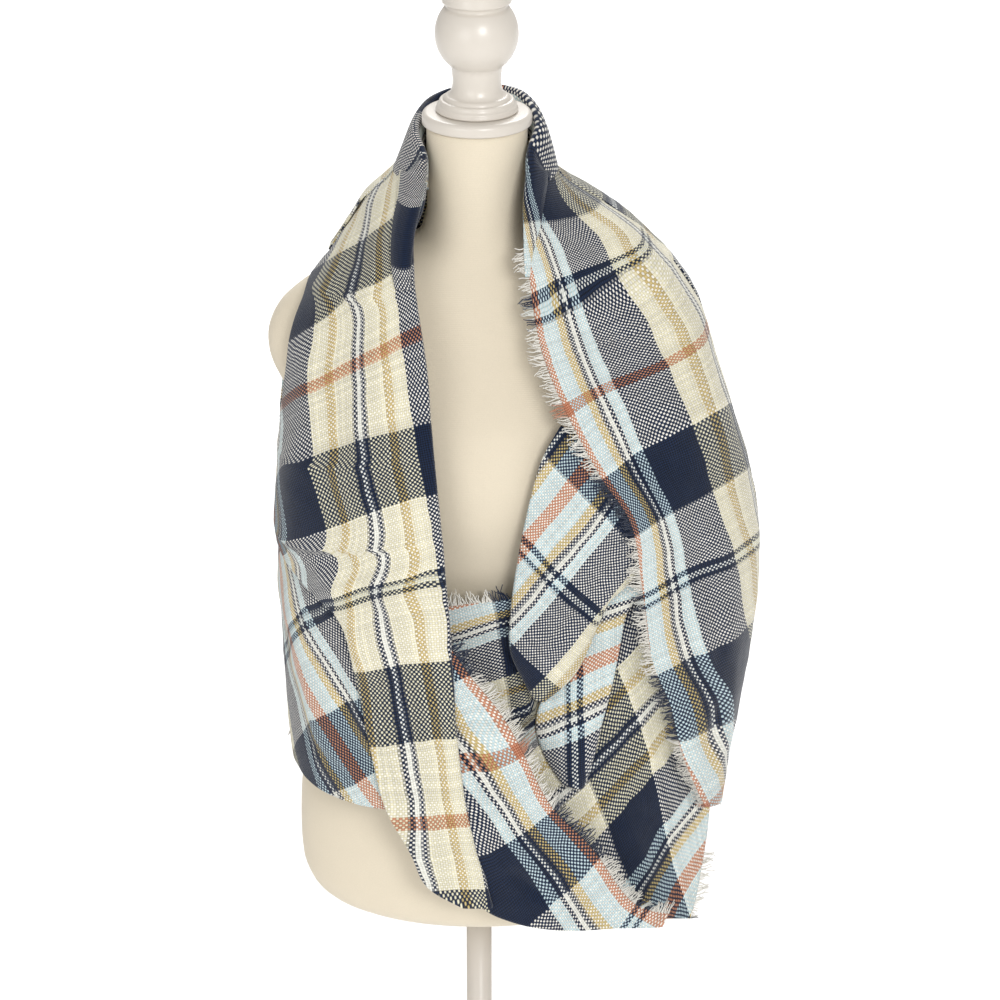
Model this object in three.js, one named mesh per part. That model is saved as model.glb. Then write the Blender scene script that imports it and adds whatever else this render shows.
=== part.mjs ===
// A plaid infinity scarf, one woven loop hung round the neck of a limbless dress form.
// Millimetres, +Z up, the wearer's front towards -Y, the photograph's right towards +X.
// The origin is the middle of the underside of the base.
import * as THREE from 'three';

// Driving sizes of the stand and the form
const baseRadius = 155;
const baseThickness = 9;
const hubRadius = 24;
const hubTop = 30;
const poleRadius = 12;
const torsoBottom = 620;
const discRadius = 48;
const discBottom = 1379;
const discTop = 1390;
const seatGap = 0.3;
const formSides = 32;

// Driving sizes of the cloth
const wall = 1.8;
const seam = 0.6;
const fringeLength = 14;
const fringePitch = 11;
const fringeRoot = 1.6;
const fringeHalf = 0.6;

const degree = Math.PI / 180;
const mix = (from, to, part) => from + (to - from) * part;
const clamp = (value, low, high) => Math.min(high, Math.max(low, value));

// The form's sections, from the neck down: half width, and how far it stands forward and back
const torsoSections = [
  { height: discBottom - seatGap, width: 44, front: 44, back: 44 },
  { height: 1330, width: 44, front: 44, back: 44 },
  { height: 1296, width: 45, front: 45, back: 48 },
  { height: 1276, width: 54, front: 47, back: 54 },
  { height: 1262, width: 84, front: 50, back: 60 },
  { height: 1249, width: 122, front: 54, back: 66 },
  { height: 1234, width: 152, front: 58, back: 70 },
  { height: 1215, width: 174, front: 62, back: 72 },
  { height: 1192, width: 185, front: 68, back: 76 },
  { height: 1168, width: 185, front: 78, back: 80 },
  { height: 1146, width: 176, front: 90, back: 83 },
  { height: 1122, width: 160, front: 103, back: 84 },
  { height: 1090, width: 150, front: 111, back: 82 },
  { height: 1050, width: 142, front: 110, back: 78 },
  { height: 1000, width: 130, front: 98, back: 73 },
  { height: 950, width: 120, front: 88, back: 70 },
  { height: 905, width: 118, front: 86, back: 70 },
  { height: 855, width: 132, front: 91, back: 77 },
  { height: 800, width: 152, front: 99, back: 88 },
  { height: 750, width: 164, front: 104, back: 96 },
  { height: 700, width: 167, front: 106, back: 98 },
  { height: 660, width: 165, front: 104, back: 97 },
  { height: 638, width: 156, front: 97, back: 91 },
  { height: 626, width: 141, front: 86, back: 82 },
  { height: torsoBottom, width: 112, front: 66, back: 64 },
];

// The drape that the cloth hangs on: half width to each side, and reach forward and back
const drapeSections = [
  { height: 1400, left: 54, right: 54, front: 48, back: 56, square: 2.0 },
  { height: 1378, left: 60, right: 60, front: 50, back: 64, square: 2.0 },
  { height: 1350, left: 67, right: 69, front: 54, back: 74, square: 2.1 },
  { height: 1330, left: 84, right: 83, front: 62, back: 80, square: 2.2 },
  { height: 1310, left: 99, right: 105, front: 70, back: 85, square: 2.3 },
  { height: 1285, left: 113, right: 138, front: 80, back: 90, square: 2.4 },
  { height: 1255, left: 133, right: 169, front: 89, back: 95, square: 2.5 },
  { height: 1215, left: 163, right: 194, front: 101, back: 100, square: 2.6 },
  { height: 1170, left: 172, right: 208, front: 116, back: 103, square: 2.6 },
  { height: 1120, left: 174, right: 224, front: 130, back: 105, square: 2.6 },
  { height: 1070, left: 177, right: 240, front: 136, back: 106, square: 2.6 },
  { height: 1000, left: 180, right: 252, front: 138, back: 107, square: 2.6 },
  { height: 930, left: 180, right: 251, front: 138, back: 109, square: 2.6 },
  { height: 860, left: 176, right: 243, front: 138, back: 112, square: 2.6 },
  { height: 790, left: 174, right: 233, front: 138, back: 115, square: 2.6 },
  { height: 720, left: 172, right: 225, front: 137, back: 117, square: 2.6 },
  { height: 650, left: 172, right: 219, front: 135, back: 118, square: 2.6 },
  { height: 600, left: 172, right: 215, front: 132, back: 118, square: 2.6 },
];

// One value of four neighbours, on a smooth curve through the middle two
function smooth(before, from, to, after, part) {
  const square = part * part;
  const cube = square * part;
  return 0.5 * (2 * from + (to - before) * part
    + (2 * before - 5 * from + 4 * to - after) * square
    + (3 * from - before - 3 * to + after) * cube);
}

// A row of a table at a fractional place, each named column on a smooth curve
function rowAt(table, place) {
  const last = table.length - 1;
  const index = clamp(Math.floor(place), 0, last - 1);
  const part = place - index;
  const near = [-1, 0, 1, 2].map((step) => table[clamp(index + step, 0, last)]);
  const row = {};
  for (const name of Object.keys(table[0])) {
    row[name] = smooth(...near.map((entry) => entry[name]), part);
  }
  return row;
}

// The drape's section at a height
function drapeAt(height) {
  const last = drapeSections.length - 1;
  let index = 0;
  while (index < last - 1 && drapeSections[index + 1].height > height) index += 1;
  const upper = drapeSections[index].height;
  const lower = drapeSections[index + 1].height;
  return rowAt(drapeSections, index + clamp((upper - height) / (upper - lower), 0, 1));
}

const power = (value, exponent) => Math.sign(value) * Math.abs(value) ** exponent;

// A point on the drape: turn 0 is the front, -90 the left side, 90 the right side, 180 the back
function onDrape(turn, height, lift) {
  const ring = drapeAt(height);
  const across = Math.sin(turn * degree);
  const forward = Math.cos(turn * degree);
  const width = (across < 0 ? ring.left : ring.right) + lift;
  const reach = (forward > 0 ? ring.front : ring.back) + lift;
  const exponent = 2 / ring.square;
  return new THREE.Vector3(width * power(across, exponent), -reach * power(forward, exponent), height);
}

// The turn at which the front of the drape lies at a distance from the middle
function turnOf(across, height) {
  const ring = drapeAt(height);
  const width = across < 0 ? ring.left : ring.right;
  const share = clamp(Math.abs(across) / width, 0, 1) ** (ring.square / 2);
  return (Math.sign(across) * Math.asin(share)) / degree;
}

// A grid of points, each from a smooth row of the table and a share of the way across
function gridOf(table, steps, columns, pointAt) {
  const grid = [];
  for (let step = 0; step <= steps; step += 1) {
    const along = step / steps;
    const row = rowAt(table, along * (table.length - 1));
    const line = [];
    for (let column = 0; column <= columns; column += 1) line.push(pointAt(row, column / columns, along));
    grid.push(line);
  }
  return grid;
}

// The direction in which the cloth faces at a point of its grid
function facingOf(grid, step, column) {
  const lastStep = grid.length - 1;
  const lastColumn = grid[0].length - 1;
  const along = grid[Math.min(step + 1, lastStep)][column].clone().sub(grid[Math.max(step - 1, 0)][column]);
  const across = grid[step][Math.min(column + 1, lastColumn)].clone().sub(grid[step][Math.max(column - 1, 0)]);
  return along.cross(across).normalize();
}

// A closed body from a list of points and triangles, turned so that its faces point out
function bodyOf(name, points, triangles, material) {
  const geometry = new THREE.BufferGeometry();
  const places = points.flatMap((point) => [point.x, point.y, point.z]);
  geometry.setAttribute('position', new THREE.Float32BufferAttribute(places, 3));
  let volume = 0;
  for (const [a, b, c] of triangles) volume += points[a].dot(points[b].clone().cross(points[c]));
  const outward = volume > 0 ? triangles : triangles.map(([a, b, c]) => [a, c, b]);
  geometry.setIndex(outward.flat());
  geometry.computeVertexNormals();
  const mesh = new THREE.Mesh(geometry, material);
  mesh.name = name;
  return mesh;
}

// Two triangles for a four-sided face
const facePair = (a, b, c, d) => [[a, b, c], [a, c, d]];

// A cloth wall of even thickness, its middle on the grid
function clothWall(name, grid, material, thickness = wall) {
  const steps = grid.length;
  const columns = grid[0].length;
  const points = [];
  for (const side of [0.5, -0.5]) {
    for (let step = 0; step < steps; step += 1) {
      for (let column = 0; column < columns; column += 1) {
        points.push(grid[step][column].clone().addScaledVector(facingOf(grid, step, column), side * thickness));
      }
    }
  }
  const outer = (step, column) => step * columns + column;
  const inner = (step, column) => steps * columns + step * columns + column;
  const triangles = [];
  for (let step = 0; step < steps - 1; step += 1) {
    for (let column = 0; column < columns - 1; column += 1) {
      triangles.push(...facePair(outer(step, column), outer(step + 1, column),
        outer(step + 1, column + 1), outer(step, column + 1)));
      triangles.push(...facePair(inner(step, column), inner(step, column + 1),
        inner(step + 1, column + 1), inner(step + 1, column)));
    }
  }
  for (let step = 0; step < steps - 1; step += 1) {
    const end = columns - 1;
    triangles.push(...facePair(outer(step, 0), inner(step, 0), inner(step + 1, 0), outer(step + 1, 0)));
    triangles.push(...facePair(outer(step, end), outer(step + 1, end), inner(step + 1, end), inner(step, end)));
  }
  for (let column = 0; column < columns - 1; column += 1) {
    const end = steps - 1;
    triangles.push(...facePair(outer(0, column), outer(0, column + 1), inner(0, column + 1), inner(0, column)));
    triangles.push(...facePair(outer(end, column), inner(end, column),
      inner(end, column + 1), outer(end, column + 1)));
  }
  return bodyOf(name, points, triangles, material);
}

// A fringe: a narrow strip beside a raw edge, and strands that taper to a point
function fringe(name, edge, away, material, length = fringeLength) {
  const total = edge.reduce((sum, point, index) => sum + (index ? point.distanceTo(edge[index - 1]) : 0), 0);
  const strands = Math.max(3, Math.round(total / fringePitch));
  const stations = strands * 2 + 1;
  const placeOn = (list, share) => {
    const place = share * (list.length - 1);
    const index = Math.min(Math.floor(place), list.length - 2);
    return list[index].clone().lerp(list[index + 1], place - index);
  };
  const points = [];
  const centre = [];
  const outwards = [];
  for (let station = 0; station < stations; station += 1) {
    const share = station / (stations - 1);
    const point = placeOn(edge, share);
    const out = placeOn(away, share).normalize();
    const ahead = placeOn(edge, Math.min(share + 0.02, 1))
      .sub(placeOn(edge, Math.max(share - 0.02, 0))).normalize();
    const up = out.clone().cross(ahead).normalize().multiplyScalar(fringeHalf);
    const near = point.clone().addScaledVector(out, seam);
    const far = near.clone().addScaledVector(out, fringeRoot);
    points.push(near.clone().add(up), near.clone().sub(up), far.clone().sub(up), far.clone().add(up));
    centre.push(far);
    outwards.push({ out, ahead });
  }
  const corner = (station, index) => station * 4 + index;
  const triangles = [];
  for (let station = 0; station < stations - 1; station += 1) {
    for (let side = 0; side < 4; side += 1) {
      const next = (side + 1) % 4;
      const face = [corner(station, side), corner(station + 1, side),
        corner(station + 1, next), corner(station, next)];
      if (side !== 2 || station % 2) {
        triangles.push(...facePair(...face));
        continue;
      }
      const wave = Math.sin(station * 2.3) * 0.35;
      const reach = length * (0.85 + 0.15 * Math.sin(station * 1.7));
      const tip = centre[station].clone().lerp(centre[station + 1], 0.5)
        .addScaledVector(outwards[station].out, reach)
        .addScaledVector(outwards[station].ahead, wave * length * 0.5);
      points.push(tip);
      const peak = points.length - 1;
      for (let index = 0; index < 4; index += 1) triangles.push([face[index], face[(index + 1) % 4], peak]);
    }
  }
  const end = stations - 1;
  triangles.push(...facePair(corner(0, 0), corner(0, 1), corner(0, 2), corner(0, 3)));
  triangles.push(...facePair(corner(end, 3), corner(end, 2), corner(end, 1), corner(end, 0)));
  return bodyOf(name, points, triangles, material);
}

// A solid of rings stacked from the top down, closed by a flat face at each end
function ringSolid(name, rings, sides, material) {
  const points = rings.flat();
  const triangles = [];
  for (let ring = 0; ring < rings.length - 1; ring += 1) {
    for (let side = 0; side < sides; side += 1) {
      const next = (side + 1) % sides;
      triangles.push(...facePair(ring * sides + side, ring * sides + next,
        (ring + 1) * sides + next, (ring + 1) * sides + side));
    }
  }
  const lowest = (rings.length - 1) * sides;
  for (let side = 1; side < sides - 1; side += 1) {
    triangles.push([0, side + 1, side]);
    triangles.push([lowest, lowest + side, lowest + side + 1]);
  }
  return bodyOf(name, points, triangles, material);
}

function torsoBody(material) {
  const rings = torsoSections.map(({ height, width, front, back }) => {
    const ring = [];
    for (let side = 0; side < formSides; side += 1) {
      const angle = (side / formSides) * Math.PI * 2;
      const reach = Math.cos(angle) > 0 ? front : back;
      ring.push(new THREE.Vector3(width * Math.sin(angle), -reach * Math.cos(angle), height));
    }
    return ring;
  });
  return ringSolid('torso', rings, formSides, material);
}

// A turned solid from a profile of radius and height pairs that starts and ends on the axis
function turned(name, profile, sides, material) {
  const outline = profile.map(([radius, height]) => new THREE.Vector2(radius, height));
  const geometry = new THREE.LatheGeometry(outline, sides);
  geometry.rotateX(Math.PI / 2);
  const mesh = new THREE.Mesh(geometry, material);
  mesh.name = name;
  return mesh;
}

function discProfile() {
  const round = 1.5;
  return [[0, discBottom], [discRadius - round, discBottom], [discRadius, discBottom + round],
    [discRadius, discTop - round], [discRadius - round, discTop], [0, discTop]];
}

// The turned knob on the neck: stepped foot, waist, ball, groove, and a small crown above the view
function finialProfile() {
  const foot = discTop + seatGap;
  const waistHeight = discTop + 24;
  const waistRadius = 21.5;
  const ballHeight = 1459;
  const ballRadius = 36.5;
  const grooveHeight = 1484;
  const crownHeight = 1497;
  const profile = [[0, foot], [36, foot], [36, foot + 3], [33, foot + 5], [33, foot + 8], [27, foot + 12],
    [waistRadius, waistHeight]];
  const arcSteps = 9;
  const lowAngle = -54;
  const highAngle = 40;
  for (let step = 0; step <= arcSteps; step += 1) {
    const angle = mix(lowAngle, highAngle, step / arcSteps) * degree;
    profile.push([ballRadius * Math.cos(angle), ballHeight + ballRadius * Math.sin(angle)]);
  }
  profile.push([27, grooveHeight], [30, grooveHeight + 5], [29, crownHeight], [22, crownHeight + 10],
    [12, crownHeight + 16], [0, crownHeight + 18]);
  return profile;
}

function baseProfile() {
  return [[0, 0], [baseRadius - 2, 0], [baseRadius, 2], [baseRadius - 1, 5], [baseRadius - 8, baseThickness],
    [hubRadius + 12, 15], [hubRadius, 20], [hubRadius - 4, hubTop], [0, hubTop]];
}

// The roll round the neck: up inside from the neck, over a ridge, and down outside to where the fall joins it
const rollSections = [
  { turn: -60, ridge: 1360, inside: 34, join: 1344 },
  { turn: -90, ridge: 1376, inside: 38, join: 1347 },
  { turn: -135, ridge: 1390, inside: 42, join: 1350 },
  { turn: -180, ridge: 1397, inside: 45, join: 1352 },
  { turn: -225, ridge: 1395, inside: 44, join: 1350 },
  { turn: -270, ridge: 1381, inside: 38, join: 1347 },
  { turn: -300, ridge: 1364, inside: 34, join: 1344 },
];
const rollInside = 49.8;
const rollHalf = 3.6;
const joinLift = 2.5;
const joinDrop = 2.2;

function rollPoint(row, across) {
  const angle = row.turn * degree;
  const insideShare = 0.3;
  const overShare = 0.62;
  let radius = rollInside;
  let height = mix(row.ridge - row.inside, row.ridge - rollHalf, clamp(across / insideShare, 0, 1));
  if (across > insideShare) {
    const over = clamp((across - insideShare) / (overShare - insideShare), 0, 1) * Math.PI;
    radius += rollHalf * (1 - Math.cos(over));
    height += rollHalf * Math.sin(over);
  }
  const point = new THREE.Vector3(radius * Math.sin(angle), -radius * Math.cos(angle), height);
  if (across > overShare) {
    const share = (across - overShare) / (1 - overShare);
    const joint = onDrape(row.turn, row.join, joinLift);
    point.lerp(joint, share ** 1.4);
    point.z = mix(height, row.join, share);
  }
  return point;
}

// Soft ridges of a stretch, each at a share of the way across, over a share of the length
function ridgeLift(ridges, along, across) {
  let lift = 0;
  for (const ridge of ridges) {
    const centre = ridge.at + ridge.lean * (along - 0.5);
    const window = Math.sin(clamp((along - ridge.from) / (ridge.to - ridge.from), 0, 1) * Math.PI);
    lift += ridge.rise * window * Math.exp(-(((across - centre) / ridge.spread) ** 2));
  }
  return lift;
}

// A stretch in front, between an inner line and an outer line that are given by distance from the middle
function frontPoint(ridges) {
  return (row, across, along) => {
    const turn = mix(turnOf(row.innerX, row.innerHeight), turnOf(row.outerX, row.outerHeight), across);
    const height = mix(row.innerHeight, row.outerHeight, across) - row.sag * 4 * across * (1 - across);
    return onDrape(turn, height, mix(row.lift, row.outerLift, across) + ridgeLift(ridges, along, across));
  };
}

// The bottom of the loop lies back against the form, and comes forward only at its right side
function cradlePoint(row, across) {
  const turn = mix(turnOf(row.innerX, row.innerHeight), turnOf(row.outerX, row.outerHeight), across);
  const height = mix(row.innerHeight, row.outerHeight, across) - row.sag * 4 * across * (1 - across);
  return onDrape(turn, height, mix(row.lift, row.outerLift, across ** 6));
}

// A stretch at the side or the back, between two turns
function aroundPoint(fromTurn, toTurn, ridges) {
  return (row, across, along) => onDrape(
    mix(fromTurn, toTurn, across),
    mix(row.fromHeight, row.toHeight, across),
    row.lift + ridgeLift(ridges, along, across),
  );
}

// A pleat that stands forward between its two sides, which curl back
function pleatPoint(row, across) {
  const turn = mix(turnOf(row.innerX, row.innerHeight), turnOf(row.outerX, row.outerHeight), across);
  const height = mix(row.innerHeight, row.outerHeight, across);
  const sides = mix(row.back, row.tuck, across);
  return onDrape(turn, height, sides + row.crest * Math.sin(Math.PI * across) ** 0.6);
}

// Left strand, from the neck to the bottom of the loop, its inner line a fold
const leftFrontSections = [
  { innerX: -46, innerHeight: 1341.5, outerX: -78, outerHeight: 1343.5, sag: 0, lift: 2.5, outerLift: 2.5 },
  { innerX: -49, innerHeight: 1322, outerX: -100, outerHeight: 1318, sag: 0, lift: 3, outerLift: 3 },
  { innerX: -56, innerHeight: 1300, outerX: -116, outerHeight: 1290, sag: 0, lift: 4, outerLift: 3 },
  { innerX: -56, innerHeight: 1268, outerX: -134, outerHeight: 1262, sag: 3, lift: 4, outerLift: 3 },
  { innerX: -51, innerHeight: 1232, outerX: -156, outerHeight: 1213, sag: 4, lift: 5, outerLift: 3 },
  { innerX: -45, innerHeight: 1195, outerX: -165, outerHeight: 1168, sag: 5, lift: 6, outerLift: 3 },
  { innerX: -42, innerHeight: 1155, outerX: -172, outerHeight: 1118, sag: 6, lift: 7, outerLift: 3 },
  { innerX: -38, innerHeight: 1108, outerX: -178, outerHeight: 1066, sag: 6, lift: 8, outerLift: 3 },
  { innerX: -33, innerHeight: 1050, outerX: -182, outerHeight: 1014, sag: 6, lift: 9, outerLift: 4 },
  { innerX: -30, innerHeight: 1010, outerX: -150, outerHeight: 986, sag: 4, lift: 10, outerLift: 7 },
  { innerX: -27, innerHeight: 975, outerX: -115, outerHeight: 960, sag: 2, lift: 11, outerLift: 8 },
  { innerX: -24, innerHeight: 920, outerX: -101, outerHeight: 905, sag: 0, lift: 12, outerLift: 9 },
  { innerX: -20, innerHeight: 860, outerX: -91, outerHeight: 845, sag: 0, lift: 12, outerLift: 9 },
  { innerX: -15, innerHeight: 800, outerX: -78, outerHeight: 782, sag: 0, lift: 12, outerLift: 9 },
  { innerX: -7, innerHeight: 750, outerX: -56, outerHeight: 735, sag: 0, lift: 11, outerLift: 9 },
  { innerX: 2, innerHeight: 712, outerX: -42, outerHeight: 702, sag: 0, lift: 10, outerLift: 9 },
  { innerX: 9, innerHeight: 680, outerX: -12, outerHeight: 680, sag: 0, lift: 9, outerLift: 8 },
];
const leftFrontRidges = [
  { at: 0.22, lean: 0.1, from: 0, to: 0.55, rise: 5, spread: 0.12 },
  { at: 0.62, lean: -0.15, from: 0.1, to: 0.75, rise: 4, spread: 0.14 },
];

// The outer part of the left strand, tucked behind it, down to where it folds under
const leftLowSections = [
  { innerX: -95, innerHeight: 985, outerX: -181, outerHeight: 1003, sag: 0, lift: 1, outerLift: 1 },
  { innerX: -84, innerHeight: 930, outerX: -181, outerHeight: 945, sag: 3, lift: 1, outerLift: 1 },
  { innerX: -76, innerHeight: 880, outerX: -178, outerHeight: 895, sag: 3, lift: 1, outerLift: 1 },
  { innerX: -68, innerHeight: 830, outerX: -174, outerHeight: 850, sag: 4, lift: 1, outerLift: 1 },
  { innerX: -60, innerHeight: 800, outerX: -174, outerHeight: 820, sag: 4, lift: 1, outerLift: 1 },
  { innerX: -56, innerHeight: 774, outerX: -176, outerHeight: 790, sag: 5, lift: 0, outerLift: 0 },
];
const leftLowRidges = [
  { at: 0.45, lean: -0.5, from: 0, to: 1, rise: 4, spread: 0.13 },
];

// The edge that is turned under the left strand and swings out into the front corner
const turnedEdgeSections = [
  { innerX: -26, innerHeight: 948, outerX: -40, outerHeight: 930, sag: 0, lift: 7, outerLift: 8.5 },
  { innerX: -6, innerHeight: 914, outerX: -36, outerHeight: 885, sag: 0, lift: 5, outerLift: 9 },
  { innerX: 19, innerHeight: 879, outerX: -32, outerHeight: 830, sag: 0, lift: 5, outerLift: 9 },
  { innerX: 37, innerHeight: 844, outerX: -26, outerHeight: 780, sag: 0, lift: 5, outerLift: 9 },
  { innerX: 64, innerHeight: 784, outerX: -16, outerHeight: 722, sag: 0, lift: 5, outerLift: 7.5 },
  { innerX: 95, innerHeight: 745, outerX: 0, outerHeight: 682, sag: 0, lift: 5, outerLift: 4 },
  { innerX: 110, innerHeight: 722, outerX: 30, outerHeight: 662, sag: 0, lift: 5, outerLift: 4 },
  { innerX: 126, innerHeight: 692, outerX: 75, outerHeight: 652, sag: 0, lift: 5, outerLift: 4 },
  { innerX: 144, innerHeight: 668, outerX: 122, outerHeight: 649, sag: 0, lift: 4, outerLift: 4 },
  { innerX: 172, innerHeight: 651, outerX: 166, outerHeight: 639, sag: 0, lift: 4, outerLift: 4 },
];

// Right strand, from the neck to its lower corner, its inner line the raw edge
const rightFrontSections = [
  { innerX: 43, innerHeight: 1341.5, outerX: 78, outerHeight: 1343.5, sag: 0, lift: 2.5, outerLift: 2.5 },
  { innerX: 41, innerHeight: 1320, outerX: 104, outerHeight: 1318, sag: 0, lift: 2, outerLift: 2 },
  { innerX: 42, innerHeight: 1292, outerX: 136, outerHeight: 1294, sag: 0, lift: 2, outerLift: 2 },
  { innerX: 45, innerHeight: 1264, outerX: 158, outerHeight: 1276, sag: 0, lift: 2, outerLift: 2 },
  { innerX: 50, innerHeight: 1229, outerX: 176, outerHeight: 1256, sag: 0, lift: 2, outerLift: 2 },
  { innerX: 58, innerHeight: 1198, outerX: 192, outerHeight: 1222, sag: 0, lift: 2, outerLift: 2 },
  { innerX: 76, innerHeight: 1156, outerX: 210, outerHeight: 1168, sag: 0, lift: 2, outerLift: 2 },
  { innerX: 106, innerHeight: 1099, outerX: 233, outerHeight: 1100, sag: 0, lift: 3, outerLift: 2 },
  { innerX: 132, innerHeight: 1054, outerX: 246, outerHeight: 1046, sag: 0, lift: 4, outerLift: 2 },
  { innerX: 143, innerHeight: 990, outerX: 254, outerHeight: 986, sag: 0, lift: 4, outerLift: 2 },
  { innerX: 152, innerHeight: 925, outerX: 252, outerHeight: 922, sag: 0, lift: 4, outerLift: 2 },
  { innerX: 170, innerHeight: 872, outerX: 246, outerHeight: 862, sag: 0, lift: 3, outerLift: 2 },
  { innerX: 180, innerHeight: 826, outerX: 237, outerHeight: 802, sag: 0, lift: 3, outerLift: 2 },
  { innerX: 195, innerHeight: 782, outerX: 230, outerHeight: 752, sag: 0, lift: 2, outerLift: 2 },
  { innerX: 207, innerHeight: 748, outerX: 226, outerHeight: 722, sag: 0, lift: 2, outerLift: 2 },
];
const rightFrontRidges = [
  { at: 0.72, lean: 0, from: 0.02, to: 0.5, rise: 3, spread: 0.16 },
  { at: 0.4, lean: 0.3, from: 0.35, to: 0.95, rise: 4, spread: 0.13 },
];

// The bottom of the loop, inside out, behind both strands
const cradleSections = [
  { innerX: -34, innerHeight: 966, outerX: 165, outerHeight: 1012, sag: 4, lift: -26, outerLift: -1.5 },
  { innerX: -32, innerHeight: 910, outerX: 205, outerHeight: 920, sag: 0, lift: -26, outerLift: -0.8 },
  { innerX: -20, innerHeight: 830, outerX: 214, outerHeight: 820, sag: 0, lift: -26, outerLift: -0.8 },
  { innerX: 0, innerHeight: 750, outerX: 213, outerHeight: 728, sag: 0, lift: -24, outerLift: -0.8 },
  { innerX: 50, innerHeight: 690, outerX: 206, outerHeight: 664, sag: 0, lift: -20, outerLift: -1 },
  { innerX: 120, innerHeight: 655, outerX: 198, outerHeight: 628, sag: 0, lift: -8, outerLift: -1 },
];

// The two pleats that stand forward, their left sides folded back and their right sides under the right strand
const middlePleatSections = [
  { innerX: 77, innerHeight: 1140, outerX: 112, outerHeight: 1122, back: -12, tuck: -0.8, crest: 1 },
  { innerX: 59, innerHeight: 1109, outerX: 130, outerHeight: 1086, back: -13, tuck: -0.6, crest: 2 },
  { innerX: 46, innerHeight: 1062, outerX: 146, outerHeight: 1042, back: -13, tuck: 0.2, crest: 4 },
  { innerX: 37, innerHeight: 1015, outerX: 142, outerHeight: 1004, back: -13, tuck: -4, crest: 6 },
  { innerX: 31, innerHeight: 965, outerX: 118, outerHeight: 972, back: -13, tuck: -11, crest: 9 },
  { innerX: 31, innerHeight: 930, outerX: 104, outerHeight: 934, back: -14, tuck: -13, crest: 9 },
  { innerX: 42, innerHeight: 903, outerX: 88, outerHeight: 902, back: -15, tuck: -14, crest: 8 },
  { innerX: 54, innerHeight: 882, outerX: 64, outerHeight: 880, back: -15, tuck: -15, crest: 5 },
];

const lowerPleatSections = [
  { innerX: 128, innerHeight: 992, outerX: 150, outerHeight: 990, back: -18, tuck: -1, crest: 0 },
  { innerX: 108, innerHeight: 955, outerX: 139, outerHeight: 963, back: -20, tuck: -12, crest: 1 },
  { innerX: 90, innerHeight: 915, outerX: 137, outerHeight: 926, back: -23, tuck: -19, crest: 1 },
  { innerX: 68, innerHeight: 885, outerX: 130, outerHeight: 888, back: -23.4, tuck: -19, crest: 2 },
  { innerX: 58, innerHeight: 853, outerX: 121, outerHeight: 853, back: -23.4, tuck: -19, crest: 7 },
  { innerX: 66, innerHeight: 822, outerX: 114, outerHeight: 820, back: -23.4, tuck: -19, crest: 9 },
  { innerX: 84, innerHeight: 792, outerX: 103, outerHeight: 788, back: -20, tuck: -19, crest: 6 },
];

// The fall at the back, from the roll to the raw edge, in three stretches and the bridge over the left shoulder
const sideStart = 90.1;
const backStart = 130;
const backGap = 0.4;
const shoulderSections = [
  { fromHeight: 1343.8, toHeight: 1347.4, lift: 2.5 },
  { fromHeight: 1305, toHeight: 1310, lift: 3 },
  { fromHeight: 1262, toHeight: 1262, lift: 3 },
];
const leftBackSections = [
  { fromHeight: 1106, toHeight: 1112, lift: 3 },
  { fromHeight: 1014, toHeight: 1040, lift: 3 },
  { fromHeight: 940, toHeight: 970, lift: 1 },
  { fromHeight: 862, toHeight: 905, lift: 1 },
  { fromHeight: 788, toHeight: 845, lift: 1 },
];
const rightBackSections = [
  { fromHeight: 1343.8, toHeight: 1347.4, lift: 2.5 },
  { fromHeight: 1284, toHeight: 1290, lift: 2 },
  { fromHeight: 1222, toHeight: 1230, lift: 2 },
  { fromHeight: 1100, toHeight: 1120, lift: 2 },
  { fromHeight: 986, toHeight: 1010, lift: 2 },
  { fromHeight: 862, toHeight: 920, lift: 2 },
  { fromHeight: 722, toHeight: 845, lift: 2 },
];
const backSections = [
  { fromHeight: 1347.4, toHeight: 1347.4, lift: 2.5 },
  { fromHeight: 1290, toHeight: 1290, lift: 2 },
  { fromHeight: 1225, toHeight: 1225, lift: 2 },
  { fromHeight: 1112, toHeight: 1112, lift: 2 },
  { fromHeight: 1000, toHeight: 1000, lift: 2 },
  { fromHeight: 905, toHeight: 905, lift: 2 },
  { fromHeight: 845, toHeight: 845, lift: 2 },
];
const hemRise = 62;
const backRidges = [
  { at: 0.2, lean: -0.1, from: 0.1, to: 1.5, rise: 9, spread: 0.07 },
  { at: 0.47, lean: 0.05, from: 0.1, to: 1.5, rise: 11, spread: 0.08 },
  { at: 0.78, lean: 0.1, from: 0.1, to: 1.5, rise: 9, spread: 0.07 },
];
const sideRidges = [
  { at: 0.5, lean: 0, from: 0.1, to: 1.5, rise: 7, spread: 0.16 },
];

function backPoint(row, across, along) {
  const fromTurn = -backStart - backGap;
  const toTurn = backStart + backGap - 360;
  const middle = Math.sin(Math.PI * across);
  const rise = hemRise * along ** 2 * middle + joinDrop * (1 - along) ** 8 * middle;
  return onDrape(mix(fromTurn, toTurn, across), row.fromHeight + rise,
    row.lift + ridgeLift(backRidges, along, across));
}

// The materials
const cloth = (colour) => new THREE.MeshStandardMaterial({ color: colour, roughness: 0.95, metalness: 0 });
const formCloth = () => new THREE.MeshStandardMaterial({ color: 0xe9e4d8, roughness: 0.8, metalness: 0 });
const paintedWood = () => new THREE.MeshStandardMaterial({ color: 0xf2efe9, roughness: 0.4, metalness: 0 });
const paintedMetal = () => new THREE.MeshStandardMaterial({ color: 0xefede8, roughness: 0.45, metalness: 0 });
const navyPlaid = cloth(0x4a566e);
const creamPlaid = cloth(0xd8cfb4);
const rawYarn = cloth(0xe3d3bf);

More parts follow.
